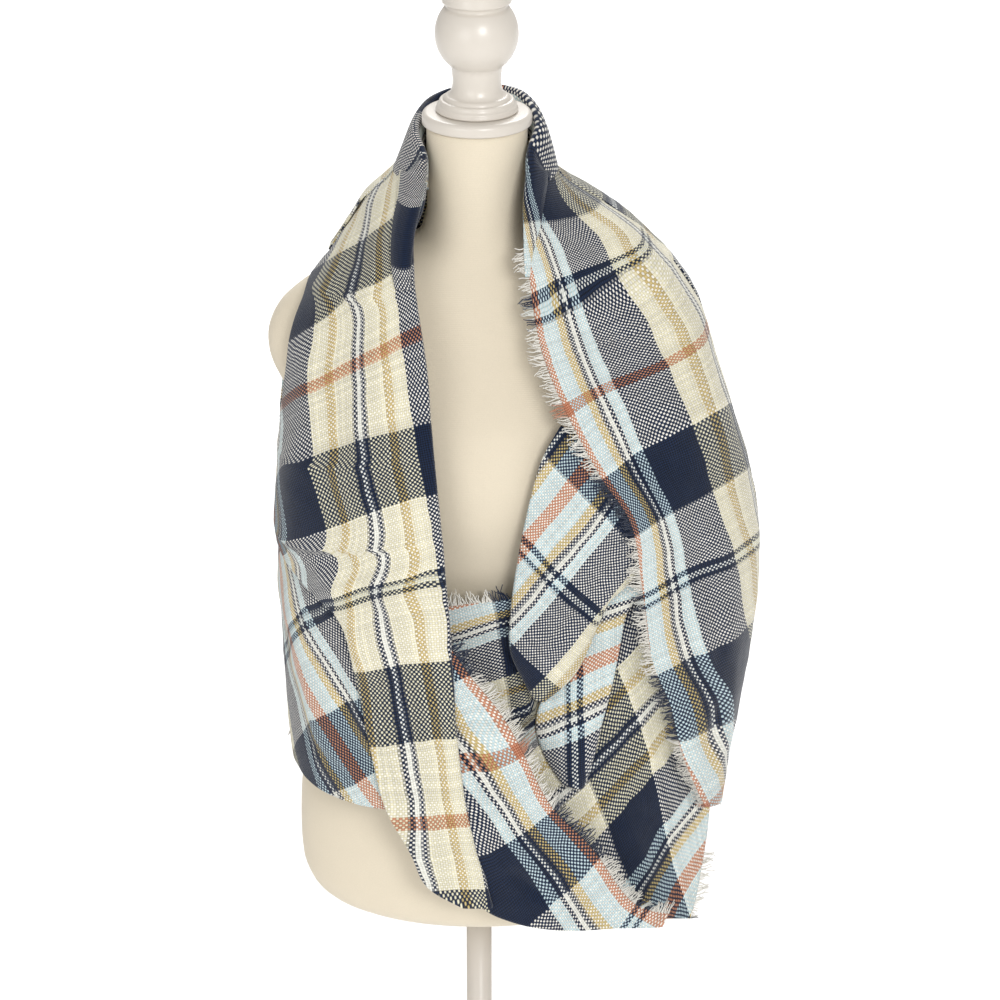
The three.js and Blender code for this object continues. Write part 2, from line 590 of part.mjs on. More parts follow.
// The stretches of the loop
const grids = {
  neck_roll: gridOf(rollSections, 24, 11, rollPoint),
  left_front: gridOf(leftFrontSections, 28, 10, frontPoint(leftFrontRidges)),
  left_low_front: gridOf(leftLowSections, 9, 8, frontPoint(leftLowRidges)),
  left_turned_edge: gridOf(turnedEdgeSections, 16, 4, frontPoint([])),
  right_front: gridOf(rightFrontSections, 26, 9, frontPoint(rightFrontRidges)),
  cradle: gridOf(cradleSections, 10, 12, cradlePoint),
  middle_pleat: gridOf(middlePleatSections, 12, 8, pleatPoint),
  lower_pleat: gridOf(lowerPleatSections, 12, 6, pleatPoint),
  left_shoulder: gridOf(shoulderSections, 6, 6, aroundPoint(-sideStart, -backStart, [])),
  left_back: gridOf(leftBackSections, 10, 6, aroundPoint(-sideStart, -backStart, sideRidges)),
  right_back: gridOf(rightBackSections, 16, 6, aroundPoint(sideStart, backStart, sideRidges)),
  back_drape: gridOf(backSections, 14, 22, backPoint),
};

// The line of a grid's first or last column, and the way out of the cloth there
function columnEdge(grid, first) {
  const edge = grid.map((line) => (first ? line[0] : line[line.length - 1]));
  const inside = grid.map((line) => (first ? line[1] : line[line.length - 2]));
  return { edge, away: edge.map((point, index) => point.clone().sub(inside[index]).normalize()) };
}

// The line of a grid's first or last row, and the way out of the cloth there
function rowEdge(grid, first) {
  const edge = first ? grid[0] : grid[grid.length - 1];
  const inside = first ? grid[1] : grid[grid.length - 2];
  return { edge, away: edge.map((point, index) => point.clone().sub(inside[index]).normalize()) };
}

const leftRawEdge = columnEdge(grids.left_turned_edge, true);
const rightRawEdge = columnEdge(grids.right_front, true);
const cradleTopEdge = rowEdge(grids.cradle, true);
const cradleLowEdge = columnEdge(grids.cradle, false);
const backHemEdge = rowEdge(grids.back_drape, false);
const leftHemEdge = rowEdge(grids.left_back, false);
const rightHemEdge = rowEdge(grids.right_back, false);
const part = (line, from, to) => ({ edge: line.edge.slice(from, to), away: line.away.slice(from, to) });
const rightOpenFrom = 3;
const cradleOpenTo = 5;
const cradleLowFrom = 7;

const fringes = {
  fringe_left_edge: leftRawEdge,
  fringe_right_edge: part(rightRawEdge, rightOpenFrom),
  fringe_cradle_top: part(cradleTopEdge, 0, cradleOpenTo),
  fringe_cradle_low: part(cradleLowEdge, cradleLowFrom),
  fringe_back_hem: backHemEdge,
  fringe_left_hem: leftHemEdge,
  fringe_right_hem: rightHemEdge,
};

const scarf = new THREE.Group();
for (const [name, grid] of Object.entries(grids)) {
  scarf.add(clothWall(name, grid, name.includes('back') ? creamPlaid : navyPlaid));
}
for (const [name, line] of Object.entries(fringes)) scarf.add(fringe(name, line.edge, line.away, rawYarn));

// The form and its stand
const stand = new THREE.Group();
stand.add(torsoBody(formCloth()));
stand.add(turned('neck_disc', discProfile(), 36, paintedWood()));
stand.add(turned('finial', finialProfile(), 24, paintedWood()));
stand.add(turned('pole', [[0, hubTop + seatGap], [poleRadius, hubTop + seatGap],
  [poleRadius, torsoBottom - seatGap], [0, torsoBottom - seatGap]], 24, paintedMetal()));
stand.add(turned('base', baseProfile(), 40, paintedMetal()));

const infinityScarfOnForm = new THREE.Group();
infinityScarfOnForm.add(stand, scarf);

export default infinityScarfOnForm;
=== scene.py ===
"""Looks of a plaid infinity scarf on a limbless dress form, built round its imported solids.

The tables are in millimetres, in the same frame as the solids, and a mesh is made in metres.
A place on the cloth itself is given by two numbers: along, which runs round the loop, and
across, which runs from one raw edge to the other. The woven pattern is worked out from them.
"""
import math

import bpy
import numpy as np
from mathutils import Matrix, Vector


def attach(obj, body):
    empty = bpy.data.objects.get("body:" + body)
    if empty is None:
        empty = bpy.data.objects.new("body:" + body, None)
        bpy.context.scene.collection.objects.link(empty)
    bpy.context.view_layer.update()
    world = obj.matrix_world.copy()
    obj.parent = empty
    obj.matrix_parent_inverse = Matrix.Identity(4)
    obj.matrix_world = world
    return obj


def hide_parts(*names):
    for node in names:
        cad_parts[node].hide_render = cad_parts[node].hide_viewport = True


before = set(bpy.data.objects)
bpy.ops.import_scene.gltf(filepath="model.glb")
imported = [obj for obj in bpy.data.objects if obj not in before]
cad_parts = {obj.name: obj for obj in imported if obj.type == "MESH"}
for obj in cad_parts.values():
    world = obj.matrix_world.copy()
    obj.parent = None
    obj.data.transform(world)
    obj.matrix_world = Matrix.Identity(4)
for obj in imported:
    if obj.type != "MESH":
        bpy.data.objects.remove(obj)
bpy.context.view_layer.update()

MM = 0.001

# Driving sizes of the stand and the form
BASE_RADIUS = 155
HUB_RADIUS = 24
HUB_TOP = 30
POLE_RADIUS = 12
TORSO_BOTTOM = 620
TORSO_TOP = 1378.7
DISC_RADIUS = 48
DISC_BOTTOM = 1379
DISC_TOP = 1390
SEAT_GAP = 0.3

# Driving sizes of the cloth
CLOTH = 1.5
BAND_WIDTH = 616
WARP_REPEAT = 154
WEFT_REPEAT = 199.5
YARN = 1.95
FRINGE_LENGTH = 14

# The end seam: its place along the band, and where the pattern runs back from it on the stretch that has it
SEAM_PLACE = -48
SEAM_SHIFT = 297.5
SEAM_STRETCH = "right_front"

# Folds of the strands' edges: their radius, how far the cloth goes on behind, and steps round and behind
FOLD_RADIUS = 3.4
FOLD_DEPTH = 14
OUTER_FOLD_RADIUS = 1.8
OUTER_FOLD_DEPTH = 8
FOLD_STEPS = 7
BEHIND_STEPS = 3

# Unevenness of soft cloth: lengths of its broad and fine waves, and the fine ones' share
BROAD_WAVE = 70
FINE_WAVE = 24
FINE_SHARE = 0.3
WAVES = 7
WAVE_SPREAD = (0.7, 1.6)

# Creases wander to both sides of their line, and fade out over a share of their length
WANDER = 3.5
WANDER_WAVE = 85
CREASE_FADE = 0.35

# The level part of a vector, a length too small to divide by, and how the forms of the stretches curve
LEVEL = (1, 1, 0)
TINY = 1e-9
FINER_COLUMNS = 5
CRADLE_TURN_OUT = 6
PLEAT_FULLNESS = 0.6
JOIN_FADE = 8


def table(names, *rows):
    """A short table: each named column as an array, with one value for each row."""
    return dict(zip(names.split(), np.array(rows, float).T))


def mix(start, end, part):
    return start + (end - start) * part


def ease(part):
    """From 0 to 1, flat at both ends."""
    part = np.clip(part, 0, 1)
    return part * part * (3 - 2 * part)


def unit(vectors):
    return vectors / np.linalg.norm(vectors, axis=-1, keepdims=True)


TORSO = table(
    "height width front back",
    (TORSO_TOP, 44, 44, 44),
    (1330, 44, 44, 44),
    (1296, 45, 45, 48),
    (1276, 54, 47, 54),
    (1262, 84, 50, 60),
    (1249, 122, 54, 66),
    (1234, 152, 58, 70),
    (1215, 174, 62, 72),
    (1192, 185, 68, 76),
    (1168, 185, 78, 80),
    (1146, 176, 90, 83),
    (1122, 160, 103, 84),
    (1090, 150, 111, 82),
    (1050, 142, 110, 78),
    (1000, 130, 98, 73),
    (950, 120, 88, 70),
    (905, 118, 86, 70),
    (855, 132, 91, 77),
    (800, 152, 99, 88),
    (750, 164, 104, 96),
    (700, 167, 106, 98),
    (660, 165, 104, 97),
    (638, 156, 97, 91),
    (626, 141, 86, 82),
    (TORSO_BOTTOM, 112, 66, 64),
)

# The drape that the cloth hangs on: half width to each side, and reach forward and back
DRAPE = table(
    "height left right front back square",
    (1400, 54, 54, 48, 56, 2.0),
    (1378, 60, 60, 50, 64, 2.0),
    (1350, 62, 62, 54, 74, 2.1),
    (1330, 76, 73, 62, 80, 2.2),
    (1310, 97, 103, 70, 85, 2.3),
    (1285, 113, 138, 80, 90, 2.4),
    (1255, 133, 169, 89, 95, 2.5),
    (1215, 163, 194, 101, 100, 2.6),
    (1170, 172, 208, 116, 103, 2.6),
    (1120, 174, 224, 130, 105, 2.6),
    (1070, 177, 240, 136, 106, 2.6),
    (1000, 180, 252, 138, 107, 2.6),
    (930, 180, 251, 138, 109, 2.6),
    (860, 176, 243, 138, 112, 2.6),
    (790, 174, 233, 138, 115, 2.6),
    (720, 172, 225, 137, 117, 2.6),
    (650, 172, 219, 135, 118, 2.6),
    (600, 172, 215, 132, 118, 2.6),
)


def curve_at(values, place):
    """Values at fractional places on a smooth curve through the given ones, one for each row."""
    last = len(values) - 1
    index = np.clip(np.floor(place), 0, last - 1).astype(int)
    before, start, end, after = (values[np.clip(index + step, 0, last)] for step in (-1, 0, 1, 2))
    part = place - index
    part = part.reshape(part.shape + (1,) * (start.ndim - part.ndim))
    return 0.5 * (
        2 * start
        + (end - before) * part
        + (2 * before - 5 * start + 4 * end - after) * part**2
        + (3 * start - before - 3 * end + after) * part**3
    )


def rows_at(columns, place):
    """The table's columns at fractional places, each on a smooth curve through its rows."""
    return {name: curve_at(values, place) for name, values in columns.items()}


def rows_of(columns, along):
    """The table's columns at shares of the way along it."""
    return rows_at(columns, along * (len(next(iter(columns.values()))) - 1))


def at_height(columns, height):
    """The smooth columns of a table that runs from the top down, at given heights."""
    heights = columns["height"]
    place = np.interp(-np.asarray(height, float), -heights, np.arange(len(heights)))
    return rows_at(columns, place)


def through(values, steps):
    """Even steps along a smooth curve through the given values, one for each row."""
    return curve_at(values, np.linspace(0, len(values) - 1, steps + 1))


def power(value, exponent):
    return np.sign(value) * np.abs(value) ** exponent


def on_drape(turn, height, lift):
    """Points on the drape: turn 0 is the front, -90 the left side, 90 the right side, 180 the back."""
    turn, height, lift = np.broadcast_arrays(turn, height, lift)
    ring = at_height(DRAPE, height)
    across = np.sin(np.radians(turn))
    forward = np.cos(np.radians(turn))
    width = np.where(across < 0, ring["left"], ring["right"]) + lift
    reach = np.where(forward > 0, ring["front"], ring["back"]) + lift
    exponent = 2 / ring["square"]
    return np.stack([width * power(across, exponent), -reach * power(forward, exponent), height], -1)


def turn_of(across, height):
    """The turn at which the front of the drape lies at a distance from the middle."""
    ring = at_height(DRAPE, height)
    width = np.where(across < 0, ring["left"], ring["right"])
    share = np.clip(np.abs(across) / width, 0, 1) ** (ring["square"] / 2)
    return np.degrees(np.sign(across) * np.arcsin(share))


def shares(steps, columns):
    """Shares of the way along, as a column, and across, as a row."""
    return np.linspace(0, 1, steps + 1)[:, None], np.linspace(0, 1, columns + 1)[None, :]


def share_across(grid):
    """How far across each point lies, measured over the cloth."""
    steps = np.linalg.norm(np.diff(grid, axis=1), axis=-1)
    run = np.concatenate([np.zeros((len(grid), 1)), np.cumsum(steps, axis=1)], axis=1)
    return run / run[:, -1:]


def ridge_lift(ridges, along, across):
    """Soft ridges, each at a share of the way across, over a share of the length."""
    lift = 0
    if ridges is None:
        return lift
    for at, lean, start, end, rise, spread in zip(*ridges.values()):
        centre = at + lean * (along - 0.5)
        window = np.sin(np.clip((along - start) / (end - start), 0, 1) * math.pi)
        lift = lift + rise * window * np.exp(-(((across - centre) / spread) ** 2))
    return lift


def evened(grid, columns):
    """The grid with its columns spread evenly over the cloth in each row."""
    share = share_across(grid)
    even = np.linspace(0, 1, columns + 1)
    rows = []
    for row_share, row in zip(share, grid):
        rows.append(np.stack([np.interp(even, row_share, row[:, axis]) for axis in range(3)], -1))
    return np.stack(rows)


def between_lines(sections, steps, columns):
    """Shares along and across, with the sections, turn and height there, between two lines."""
    along, across = shares(steps, columns)
    row = rows_of(sections, along)
    inner = turn_of(row["inner_x"], row["inner_height"])
    turn = mix(inner, turn_of(row["outer_x"], row["outer_height"]), across)
    sag = row.get("sag", 0) * 4 * across * (1 - across)
    height = mix(row["inner_height"], row["outer_height"], across) - sag
    return along, across, row, turn, height


def front_grid(sections, ridges, steps, columns):
    """A stretch in front, between an inner line and an outer line."""
    along, across, row, turn, height = between_lines(sections, steps, columns * FINER_COLUMNS)
    lift = mix(row["lift"], row["outer_lift"], across) + ridge_lift(ridges, along, across)
    return evened(on_drape(turn, height, lift), columns)


def cradle_grid(sections, steps, columns):
    """The bottom of the loop, back against the form, and forward only at its right side."""
    _, across, row, turn, height = between_lines(sections, steps, columns)
    return on_drape(turn, height, mix(row["lift"], row["outer_lift"], across**CRADLE_TURN_OUT))


def pleat_grid(sections, steps, columns):
    """A pleat that stands forward between its two sides, which curl back."""
    _, across, row, turn, height = between_lines(sections, steps, columns)
    crest = row["crest"] * np.sin(math.pi * across) ** PLEAT_FULLNESS
    return on_drape(turn, height, mix(row["back"], row["tuck"], across) + crest)


def around_grid(sections, start_turn, end_turn, ridges, steps, columns):
    """A stretch at the side, between two turns."""
    along, across = shares(steps, columns)
    row = rows_of(sections, along)
    height = mix(row["start_height"], row["end_height"], across)
    lift = row["lift"] + ridge_lift(ridges, along, across)
    return on_drape(mix(start_turn, end_turn, across), height, lift)


def back_grid(sections, start_turn, end_turn, ridges, steps, columns):
    """The fall down the back, its hem raised in the middle."""
    along, across = shares(steps, columns)
    row = rows_of(sections, along)
    middle = np.sin(math.pi * across)
    rise = HEM_RISE * along**2 * middle + JOIN_DROP * (1 - along) ** JOIN_FADE * middle
    lift = row["lift"] + ridge_lift(ridges, along, across)
    return on_drape(mix(start_turn, end_turn, across), row["height"] + rise, lift)


# The stretches of the loop. After each section's place come the places on the cloth at its ends and middle.
LINE_NAMES = "inner_x inner_height outer_x outer_height sag lift outer_lift"
FRONT_NAMES = LINE_NAMES + " inner_along mid_along outer_along inner_across mid_across outer_across"
PLEAT_NAMES = "inner_x inner_height outer_x outer_height back tuck crest"
SIDE_NAMES = "start_height end_height lift"
LEFT_FRONT = table(
    FRONT_NAMES,
    (-46, 1341.5, -78, 1343.5, 0, 2.5, 2.5, 239, 216, 198, 66, 98, 128),
    (-49, 1322, -100, 1318, 0, 3, 3, 278, 240, 198, 76, 130, 165),
    (-56, 1300, -116, 1290, 0, 4, 3, 303, 264, 214, 82, 152, 200),
    (-56, 1268, -134, 1262, 3, 4, 3, 346, 305, 246, 90, 165, 222),
    (-51, 1232, -156, 1213, 4, 5, 3, 390, 360, 312, 86, 169, 233),
    (-45, 1195, -165, 1168, 5, 6, 3, 424, 407, 364, 86, 172, 235),
    (-42, 1155, -172, 1118, 6, 7, 3, 458, 449, 410, 92, 186, 262),
    (-38, 1108, -178, 1066, 6, 8, 3, 505, 487, 438, 98, 205, 294),
    (-33, 1050, -182, 1014, 6, 9, 4, 563, 534, 486, 102, 219, 340),
    (-30, 1010, -150, 986, 4, 10, 7, 600, 592, 564, 104, 166, 262),
    (-27, 975, -115, 960, 2, 11, 8, 636, 633, 620, 106, 146, 194),
    (-24, 920, -101, 905, 0, 12, 9, 683, 683, 681, 107, 148, 190),
    (-20, 860, -91, 845, 0, 12, 9, 731, 731, 729, 110, 149, 184),
    (-15, 800, -78, 782, 0, 12, 9, 776, 779, 783, 110, 148, 176),
    (-7, 750, -56, 735, 0, 11, 9, 817, 821, 824, 110, 138, 158),
    (2, 712, -42, 702, 0, 10, 9, 851, 856, 858, 108, 133, 154),
    (9, 680, -12, 680, 0, 9, 8, 880, 876, 872, 105, 117, 128),
)
LEFT_LOW = table(
    LINE_NAMES,
    (-95, 985, -181, 1003, 0, 1, 1),
    (-84, 930, -181, 945, 3, 1, 1),
    (-76, 880, -180, 895, 3, 1, 1),
    (-68, 830, -178, 850, 4, 1, 1),
    (-60, 800, -178, 820, 4, 1, 1),
    (-56, 774, -176, 790, 5, 0, 0),
)
TURNED_EDGE = table(
    FRONT_NAMES,
    (-26, 948, -40, 930, 0, 7, 8.5, 702, 712, 722, 0, 10, 20),
    (-6, 914, -36, 885, 0, 5, 9, 734, 740, 745, 0, 22, 45),
    (19, 879, -32, 830, 0, 5, 9, 766, 778, 790, 0, 31, 62),
    (37, 844, -26, 780, 0, 5, 9, 795, 808, 822, 0, 43, 85),
    (64, 784, -16, 722, 0, 5, 7.5, 857, 860, 862, 0, 56, 112),
    (95, 745, 0, 682, 0, 5, 4, 905, 897, 885, 0, 56, 112),
    (110, 722, 30, 662, 0, 5, 4, 928, 921, 912, 0, 46, 92),
    (126, 692, 75, 652, 0, 5, 4, 962, 957, 950, 0, 30, 60),
    (144, 668, 122, 649, 0, 4, 4, 993, 989, 985, 0, 12, 25),
    (172, 651, 166, 639, 0, 4, 4, 1030, 1031, 1032, 0, 3, 6),
)
RIGHT_FRONT = table(
    FRONT_NAMES,
    (43, 1341.5, 78, 1343.5, 0, 2.5, 2.5, -214, -216, -218, 36, 84, 120),
    (41, 1320, 104, 1318, 0, 2, 2, -186, -188, -194, 26, 108, 145),
    (42, 1292, 136, 1294, 0, 2, 2, -150, -142, -134, 10, 103, 148),
    (45, 1264, 158, 1276, 0, 2, 2, -114, -97, -92, 0, 106, 149),
    (50, 1229, 176, 1256, 0, 2, 2, -92, -74, -66, 0, 105, 154),
    (58, 1198, 192, 1222, 0, 2, 2, -50, -32, -26, 0, 104, 156),
    (76, 1156, 210, 1168, 0, 2, 2, 1, 34, 22, 0, 102, 152),
    (106, 1099, 233, 1100, 0, 3, 2, 62, 95, 78, 0, 107, 150),
    (132, 1054, 246, 1046, 0, 4, 2, 112, 150, 138, 0, 112, 153),
    (143, 990, 254, 986, 0, 4, 2, 188, 216, 198, 6, 102, 144),
    (152, 925, 252, 922, 0, 4, 2, 254, 272, 262, 8, 87, 134),
    (170, 872, 246, 862, 0, 3, 2, 302, 312, 300, 8, 64, 100),
    (180, 826, 237, 802, 0, 3, 2, 341, 346, 338, 7, 49, 68),
    (195, 782, 230, 752, 0, 2, 2, 371, 384, 392, 4, 30, 50),
    (207, 748, 226, 722, 0, 2, 2, 397, 408, 417, 3, 21, 38),
)
CRADLE = table(
    LINE_NAMES,
    (-34, 966, 165, 1012, 4, -26, -1.5),
    (-32, 910, 205, 920, 0, -26, -0.8),
    (-20, 830, 214, 820, 0, -26, -0.8),
    (0, 750, 213, 728, 0, -24, -0.8),
    (50, 690, 206, 664, 0, -20, -1),
    (120, 655, 198, 628, 0, -8, -1),
)
MIDDLE_PLEAT = table(
    PLEAT_NAMES,
    (77, 1140, 112, 1122, -12, -0.8, 1),
    (59, 1109, 130, 1086, -13, -0.6, 2),
    (46, 1062, 146, 1042, -13, 0.2, 4),
    (37, 1015, 142, 1004, -13, -4, 6),
    (31, 965, 118, 972, -13, -11, 9),
    (31, 930, 104, 934, -14, -13, 9),
    (42, 903, 88, 902, -15, -14, 8),
    (54, 882, 64, 880, -15, -15, 5),
)
LOWER_PLEAT = table(
    PLEAT_NAMES,
    (128, 992, 150, 990, -18, -1, 0),
    (108, 955, 139, 963, -20, -12, 1),
    (90, 915, 137, 926, -23, -19, 1),
    (68, 885, 130, 888, -23.4, -19, 2),
    (58, 853, 121, 853, -23.4, -19, 7),
    (66, 822, 114, 820, -23.4, -19, 9),
    (84, 792, 103, 788, -20, -19, 6),
)
SHOULDER = table(
    SIDE_NAMES,
    (1343.8, 1347.4, 2.5),
    (1305, 1310, 3),
    (1262, 1262, 3),
)
LEFT_BACK = table(
    SIDE_NAMES,
    (1106, 1250, 3),
    (1014, 1070, 3),
    (940, 970, 1),
    (862, 905, 1),
    (788, 845, 1),
)
RIGHT_BACK = table(
    SIDE_NAMES,
    (1343.8, 1347.4, 2.5),
    (1284, 1290, 2),
    (1222, 1230, 2),
    (1100, 1120, 2),
    (986, 1010, 2),
    (862, 920, 2),
    (722, 845, 2),
)
BACK = table(
    "height lift",
    (1347.4, 2.5),
    (1290, 2),
    (1225, 2),
    (1112, 2),
    (1000, 2),
    (905, 2),
    (845, 2),
)

# The back's hem is raised in its middle, and its top is let down a little where the roll joins it
HEM_RISE = 62
JOIN_DROP = 2.2

# The roll round the neck: its ridge, its depth inside, where it joins the fall, and its place along the band
ROLL = table(
    "turn ridge inside join along",
    (-60, 1360, 34, 1337, 199),
    (-90, 1376, 38, 1340, 150),
    (-135, 1390, 42, 1344, 88),
    (-180, 1397, 45, 1346, 31),
    (-225, 1395, 44, 1344, -24),
    (-270, 1381, 38, 1340, -48),
    (-300, 1364, 34, 1337, -66),
)
ROLL_INSIDE = 49.8
ROLL_HALF = 5.4
JOIN_LIFT = 4.2
JOIN_ACROSS = 98

# Across the roll: distance outside its inner wall, share of its depth inside, drop below its ridge, and place
NECK_POINTS = (
    (0, 1, 0, 22),
    (0, 0, 5, 57),
    (ROLL_HALF, 0, 0, 63),
    (ROLL_HALF * 2.1, 0, 9, 72),
)

# The roll's two ends, laid over the strands: place of the fold, width, lift at the base, rise of the crest
TAIL_NAMES = "x height width lift crest along fold_across join_across"
LEFT_TAIL = table(
    TAIL_NAMES,
    (-58, 1258, 12, 7.5, 2, 352, 78, 100),
    (-57.5, 1281, 16, 7.5, 6, 330, 66, 106),
    (-54, 1304, 19, 7, 8, 302, 58, 107),
    (-48.5, 1326, 20, 6, 9, 270, 56, 107),
    (-46, 1343, 20, 5, 8, 232, 58, 107),
)
RIGHT_TAIL = table(
    TAIL_NAMES,
    (43, 1343, 20, 3.6, 6, -84, 38, 105),
    (41, 1324, 17, 3.2, 4, -108, 26, 76),
    (41.5, 1304, 12, 3.0, 1.5, -136, 18, 54),
    (42, 1286, 6, 3.0, 0.8, -156, 12, 32),
    (43.5, 1268, 2, 2.8, 0.2, -172, 8, 14),
)
# Across an end: distance from its fold, as a size and as a share of its width, rise over its base, as a size
# and as a share of its crest, and share of the way from the fold's place to the join's
TAIL_POINTS = (
    (5, 0, -6, 0, -0.5),
    (-1, 0, 1, 0, 0),
    (0, 0.32, 0, 1, 0.42),
    (0, 0.78, 0, 0.72, 0.78),
    (0, 1, 0.6, 0, 1),
)

# Where the right strand turns round the side, its pattern runs on faster beyond a share of its width
RIGHT_SIDE_GAIN = 110
RIGHT_SIDE_SHARE = 0.8

# Turns at which the stretches at the sides start and end
SIDE_TURN = 90.1
BACK_TURN = 130

# Soft ridges: share of the way across, lean, start and end along, rise, and spread
RIDGE_NAMES = "at lean start end rise spread"
LEFT_FRONT_RIDGES = table(
    RIDGE_NAMES,
    (0.22, 0.1, 0, 0.55, 5, 0.12),
    (0.62, -0.15, 0.1, 0.75, 4, 0.14),
)
LEFT_LOW_RIDGES = table(RIDGE_NAMES, (0.45, -0.5, 0, 1, 4, 0.13))
RIGHT_FRONT_RIDGES = table(
    RIDGE_NAMES,
    (0.72, 0, 0.02, 0.5, 3, 0.16),
    (0.4, 0.3, 0.35, 0.95, 4, 0.13),
)
BACK_RIDGES = table(
    RIDGE_NAMES,
    (0.2, -0.1, 0.1, 1.5, 9, 0.07),
    (0.47, 0.05, 0.1, 1.5, 11, 0.08),
    (0.78, 0.1, 0.1, 1.5, 9, 0.07),
)
SIDE_RIDGES = table(RIDGE_NAMES, (0.5, 0, 0.1, 1.5, 7, 0.16))


def front_at(x, height, lift):
    """The point in front of the drape at a distance from the middle, lifted off it."""
    ring = at_height(DRAPE, height)
    width = np.where(x < 0, ring["left"], ring["right"]) + lift
    inside = np.clip(1 - (np.abs(x) / width) ** ring["square"], 0, 1) ** (1 / ring["square"])
    return np.stack(np.broadcast_arrays(x, -(ring["front"] + lift) * inside, height), -1)


def neck_sections():
    """Points across the roll at each turn, from its inside lip over the ridge to where the fall joins it."""
    angle = np.radians(ROLL["turn"])
    deep = ROLL["inside"]
    lines = []
    for out, inside, drop, _ in NECK_POINTS:
        radius = ROLL_INSIDE + out
        height = ROLL["ridge"] - deep * inside - drop
        lines.append(np.stack([radius * np.sin(angle), -radius * np.cos(angle), height], -1))
    lines.append(on_drape(ROLL["turn"], ROLL["join"], JOIN_LIFT))
    across = np.array([point[-1] for point in NECK_POINTS] + [JOIN_ACROSS], float)
    return np.stack(lines, 1), np.tile(across, (len(angle), 1)), ROLL["along"]


def tail_sections(tail, side):
    """Points across the roll where it lies over a strand; side is -1 on the left and 1 on the right."""
    lines = []
    across = []
    for out, width_share, rise, crest_share, place_share in TAIL_POINTS:
        offset = out + width_share * tail["width"]
        lift = tail["lift"] + (rise + crest_share * tail["crest"])
        lines.append(front_at(tail["x"] + side * offset, tail["height"], lift))
        across.append(mix(tail["fold_across"], tail["join_across"], place_share))
    return np.stack(lines, 1), np.stack(across, 1), tail["along"]


def roll_grid(steps, columns):
    """The roll round the neck and its two ends over the strands, with its places on the cloth."""
    parts = [tail_sections(LEFT_TAIL, -1), neck_sections(), tail_sections(RIGHT_TAIL, 1)]
    points, across, along = (np.concatenate([part[index] for part in parts]) for index in range(3))
    points = through(points, steps)
    across = through(across, steps)
    along = through(along, steps)
    grid = np.moveaxis(through(np.moveaxis(points, 1, 0), columns), 0, 1)
    across = through(across.T, columns).T
    return grid, np.stack([np.broadcast_to(along[:, None], across.shape), across], -1)


# Creases, each a soft trough (below 0) or ridge along a line from one place to another, seen from the front
CREASE_NAMES = "start_x start_height end_x end_height depth width"
LEFT_FRONT_CREASES = table(
    CREASE_NAMES,
    (-96, 1330, -122, 1235, -3.0, 9),
    (-75, 1322, -88, 1205, -2.2, 8),
    (-62, 1290, -60, 1150, 1.8, 7),
    (-140, 1228, -112, 1080, -2.6, 12),
    (-160, 1130, -95, 1030, -2.4, 10),
    (-118, 1018, -62, 930, -4.0, 10),
    (-150, 1040, -82, 880, 2.8, 9),
    (-52, 1090, -46, 900, -2.0, 7),
    (-66, 900, -50, 760, -3.0, 7),
    (-34, 930, -22, 740, 2.2, 6),
    (-88, 860, -66, 790, 2.0, 5),
    (-30, 760, 0, 690, -2.2, 6),
)
LEFT_LOW_CREASES = table(
    CREASE_NAMES,
    (-168, 985, -160, 850, 3.4, 8),
    (-176, 960, -150, 800, -3.0, 8),
    (-140, 960, -100, 800, -2.6, 9),
    (-122, 940, -84, 800, 2.4, 7),
    (-165, 830, -110, 790, -2.0, 7),
)
TURNED_CREASES = table(
    CREASE_NAMES,
    (-26, 880, 20, 740, -2.4, 6),
    (6, 840, 60, 735, 1.8, 6),
    (20, 720, 100, 668, -2.0, 7),
    (70, 730, 130, 672, 1.4, 5),
)
RIGHT_FRONT_CREASES = table(
    CREASE_NAMES,
    (70, 1318, 150, 1250, -2.6, 9),
    (60, 1268, 175, 1196, 2.2, 10),
    (58, 1232, 196, 1190, -2.4, 8),
    (92, 1185, 222, 1120, 1.8, 9),
    (100, 1140, 236, 1060, -3.0, 11),
    (150, 1090, 236, 1000, 2.4, 10),
    (142, 1030, 250, 950, -2.6, 11),
    (168, 1000, 212, 860, -3.4, 9),
    (190, 980, 232, 830, 3.0, 8),
    (160, 905, 205, 800, 2.4, 6),
    (215, 880, 214, 760, -2.6, 7),
)
PLEAT_CREASES = table(
    CREASE_NAMES,
    (118, 1090, 52, 985, 2.2, 7),
    (96, 1100, 44, 1020, -2.6, 7),
    (130, 1040, 62, 925, -2.4, 7),
    (118, 985, 74, 905, 2.0, 6),
)
CRADLE_CREASES = table(
    CREASE_NAMES,
    (-10, 960, 60, 860, -3.0, 10),
    (110, 800, 190, 700, -2.6, 9),
    (140, 830, 200, 760, 2.4, 8),
    (120, 760, 170, 670, 2.0, 8),
)
BACK_CREASES = table(
    CREASE_NAMES,
    (-70, 1310, -110, 1080, -3.2, 12),
    (-30, 1330, -40, 1120, 2.6, 10),
    (10, 1320, 26, 1020, -3.4, 12),
    (48, 1330, 96, 1100, 2.8, 11),
    (84, 1290, 150, 1060, -3.0, 11),
    (-100, 1120, -76, 900, 2.8, 11),
    (-60, 1050, -70, 880, -3.6, 12),
    (60, 1080, 44, 930, 3.0, 12),
    (110, 1060, 122, 900, -3.0, 12),
    (-130, 1000, -120, 880, -2.6, 10),
)
SIDE_CREASES = table(
    CREASE_NAMES,
    (150, 1280, 196, 1120, -2.8, 11),
    (186, 1200, 226, 980, 2.6, 11),
    (206, 1040, 226, 840, -3.0, 11),
    (-120, 1330, -150, 1260, -2.4, 9),
    (-160, 1080, -168, 900, -2.8, 11),
    (-150, 1040, -156, 860, 2.4, 10),
)


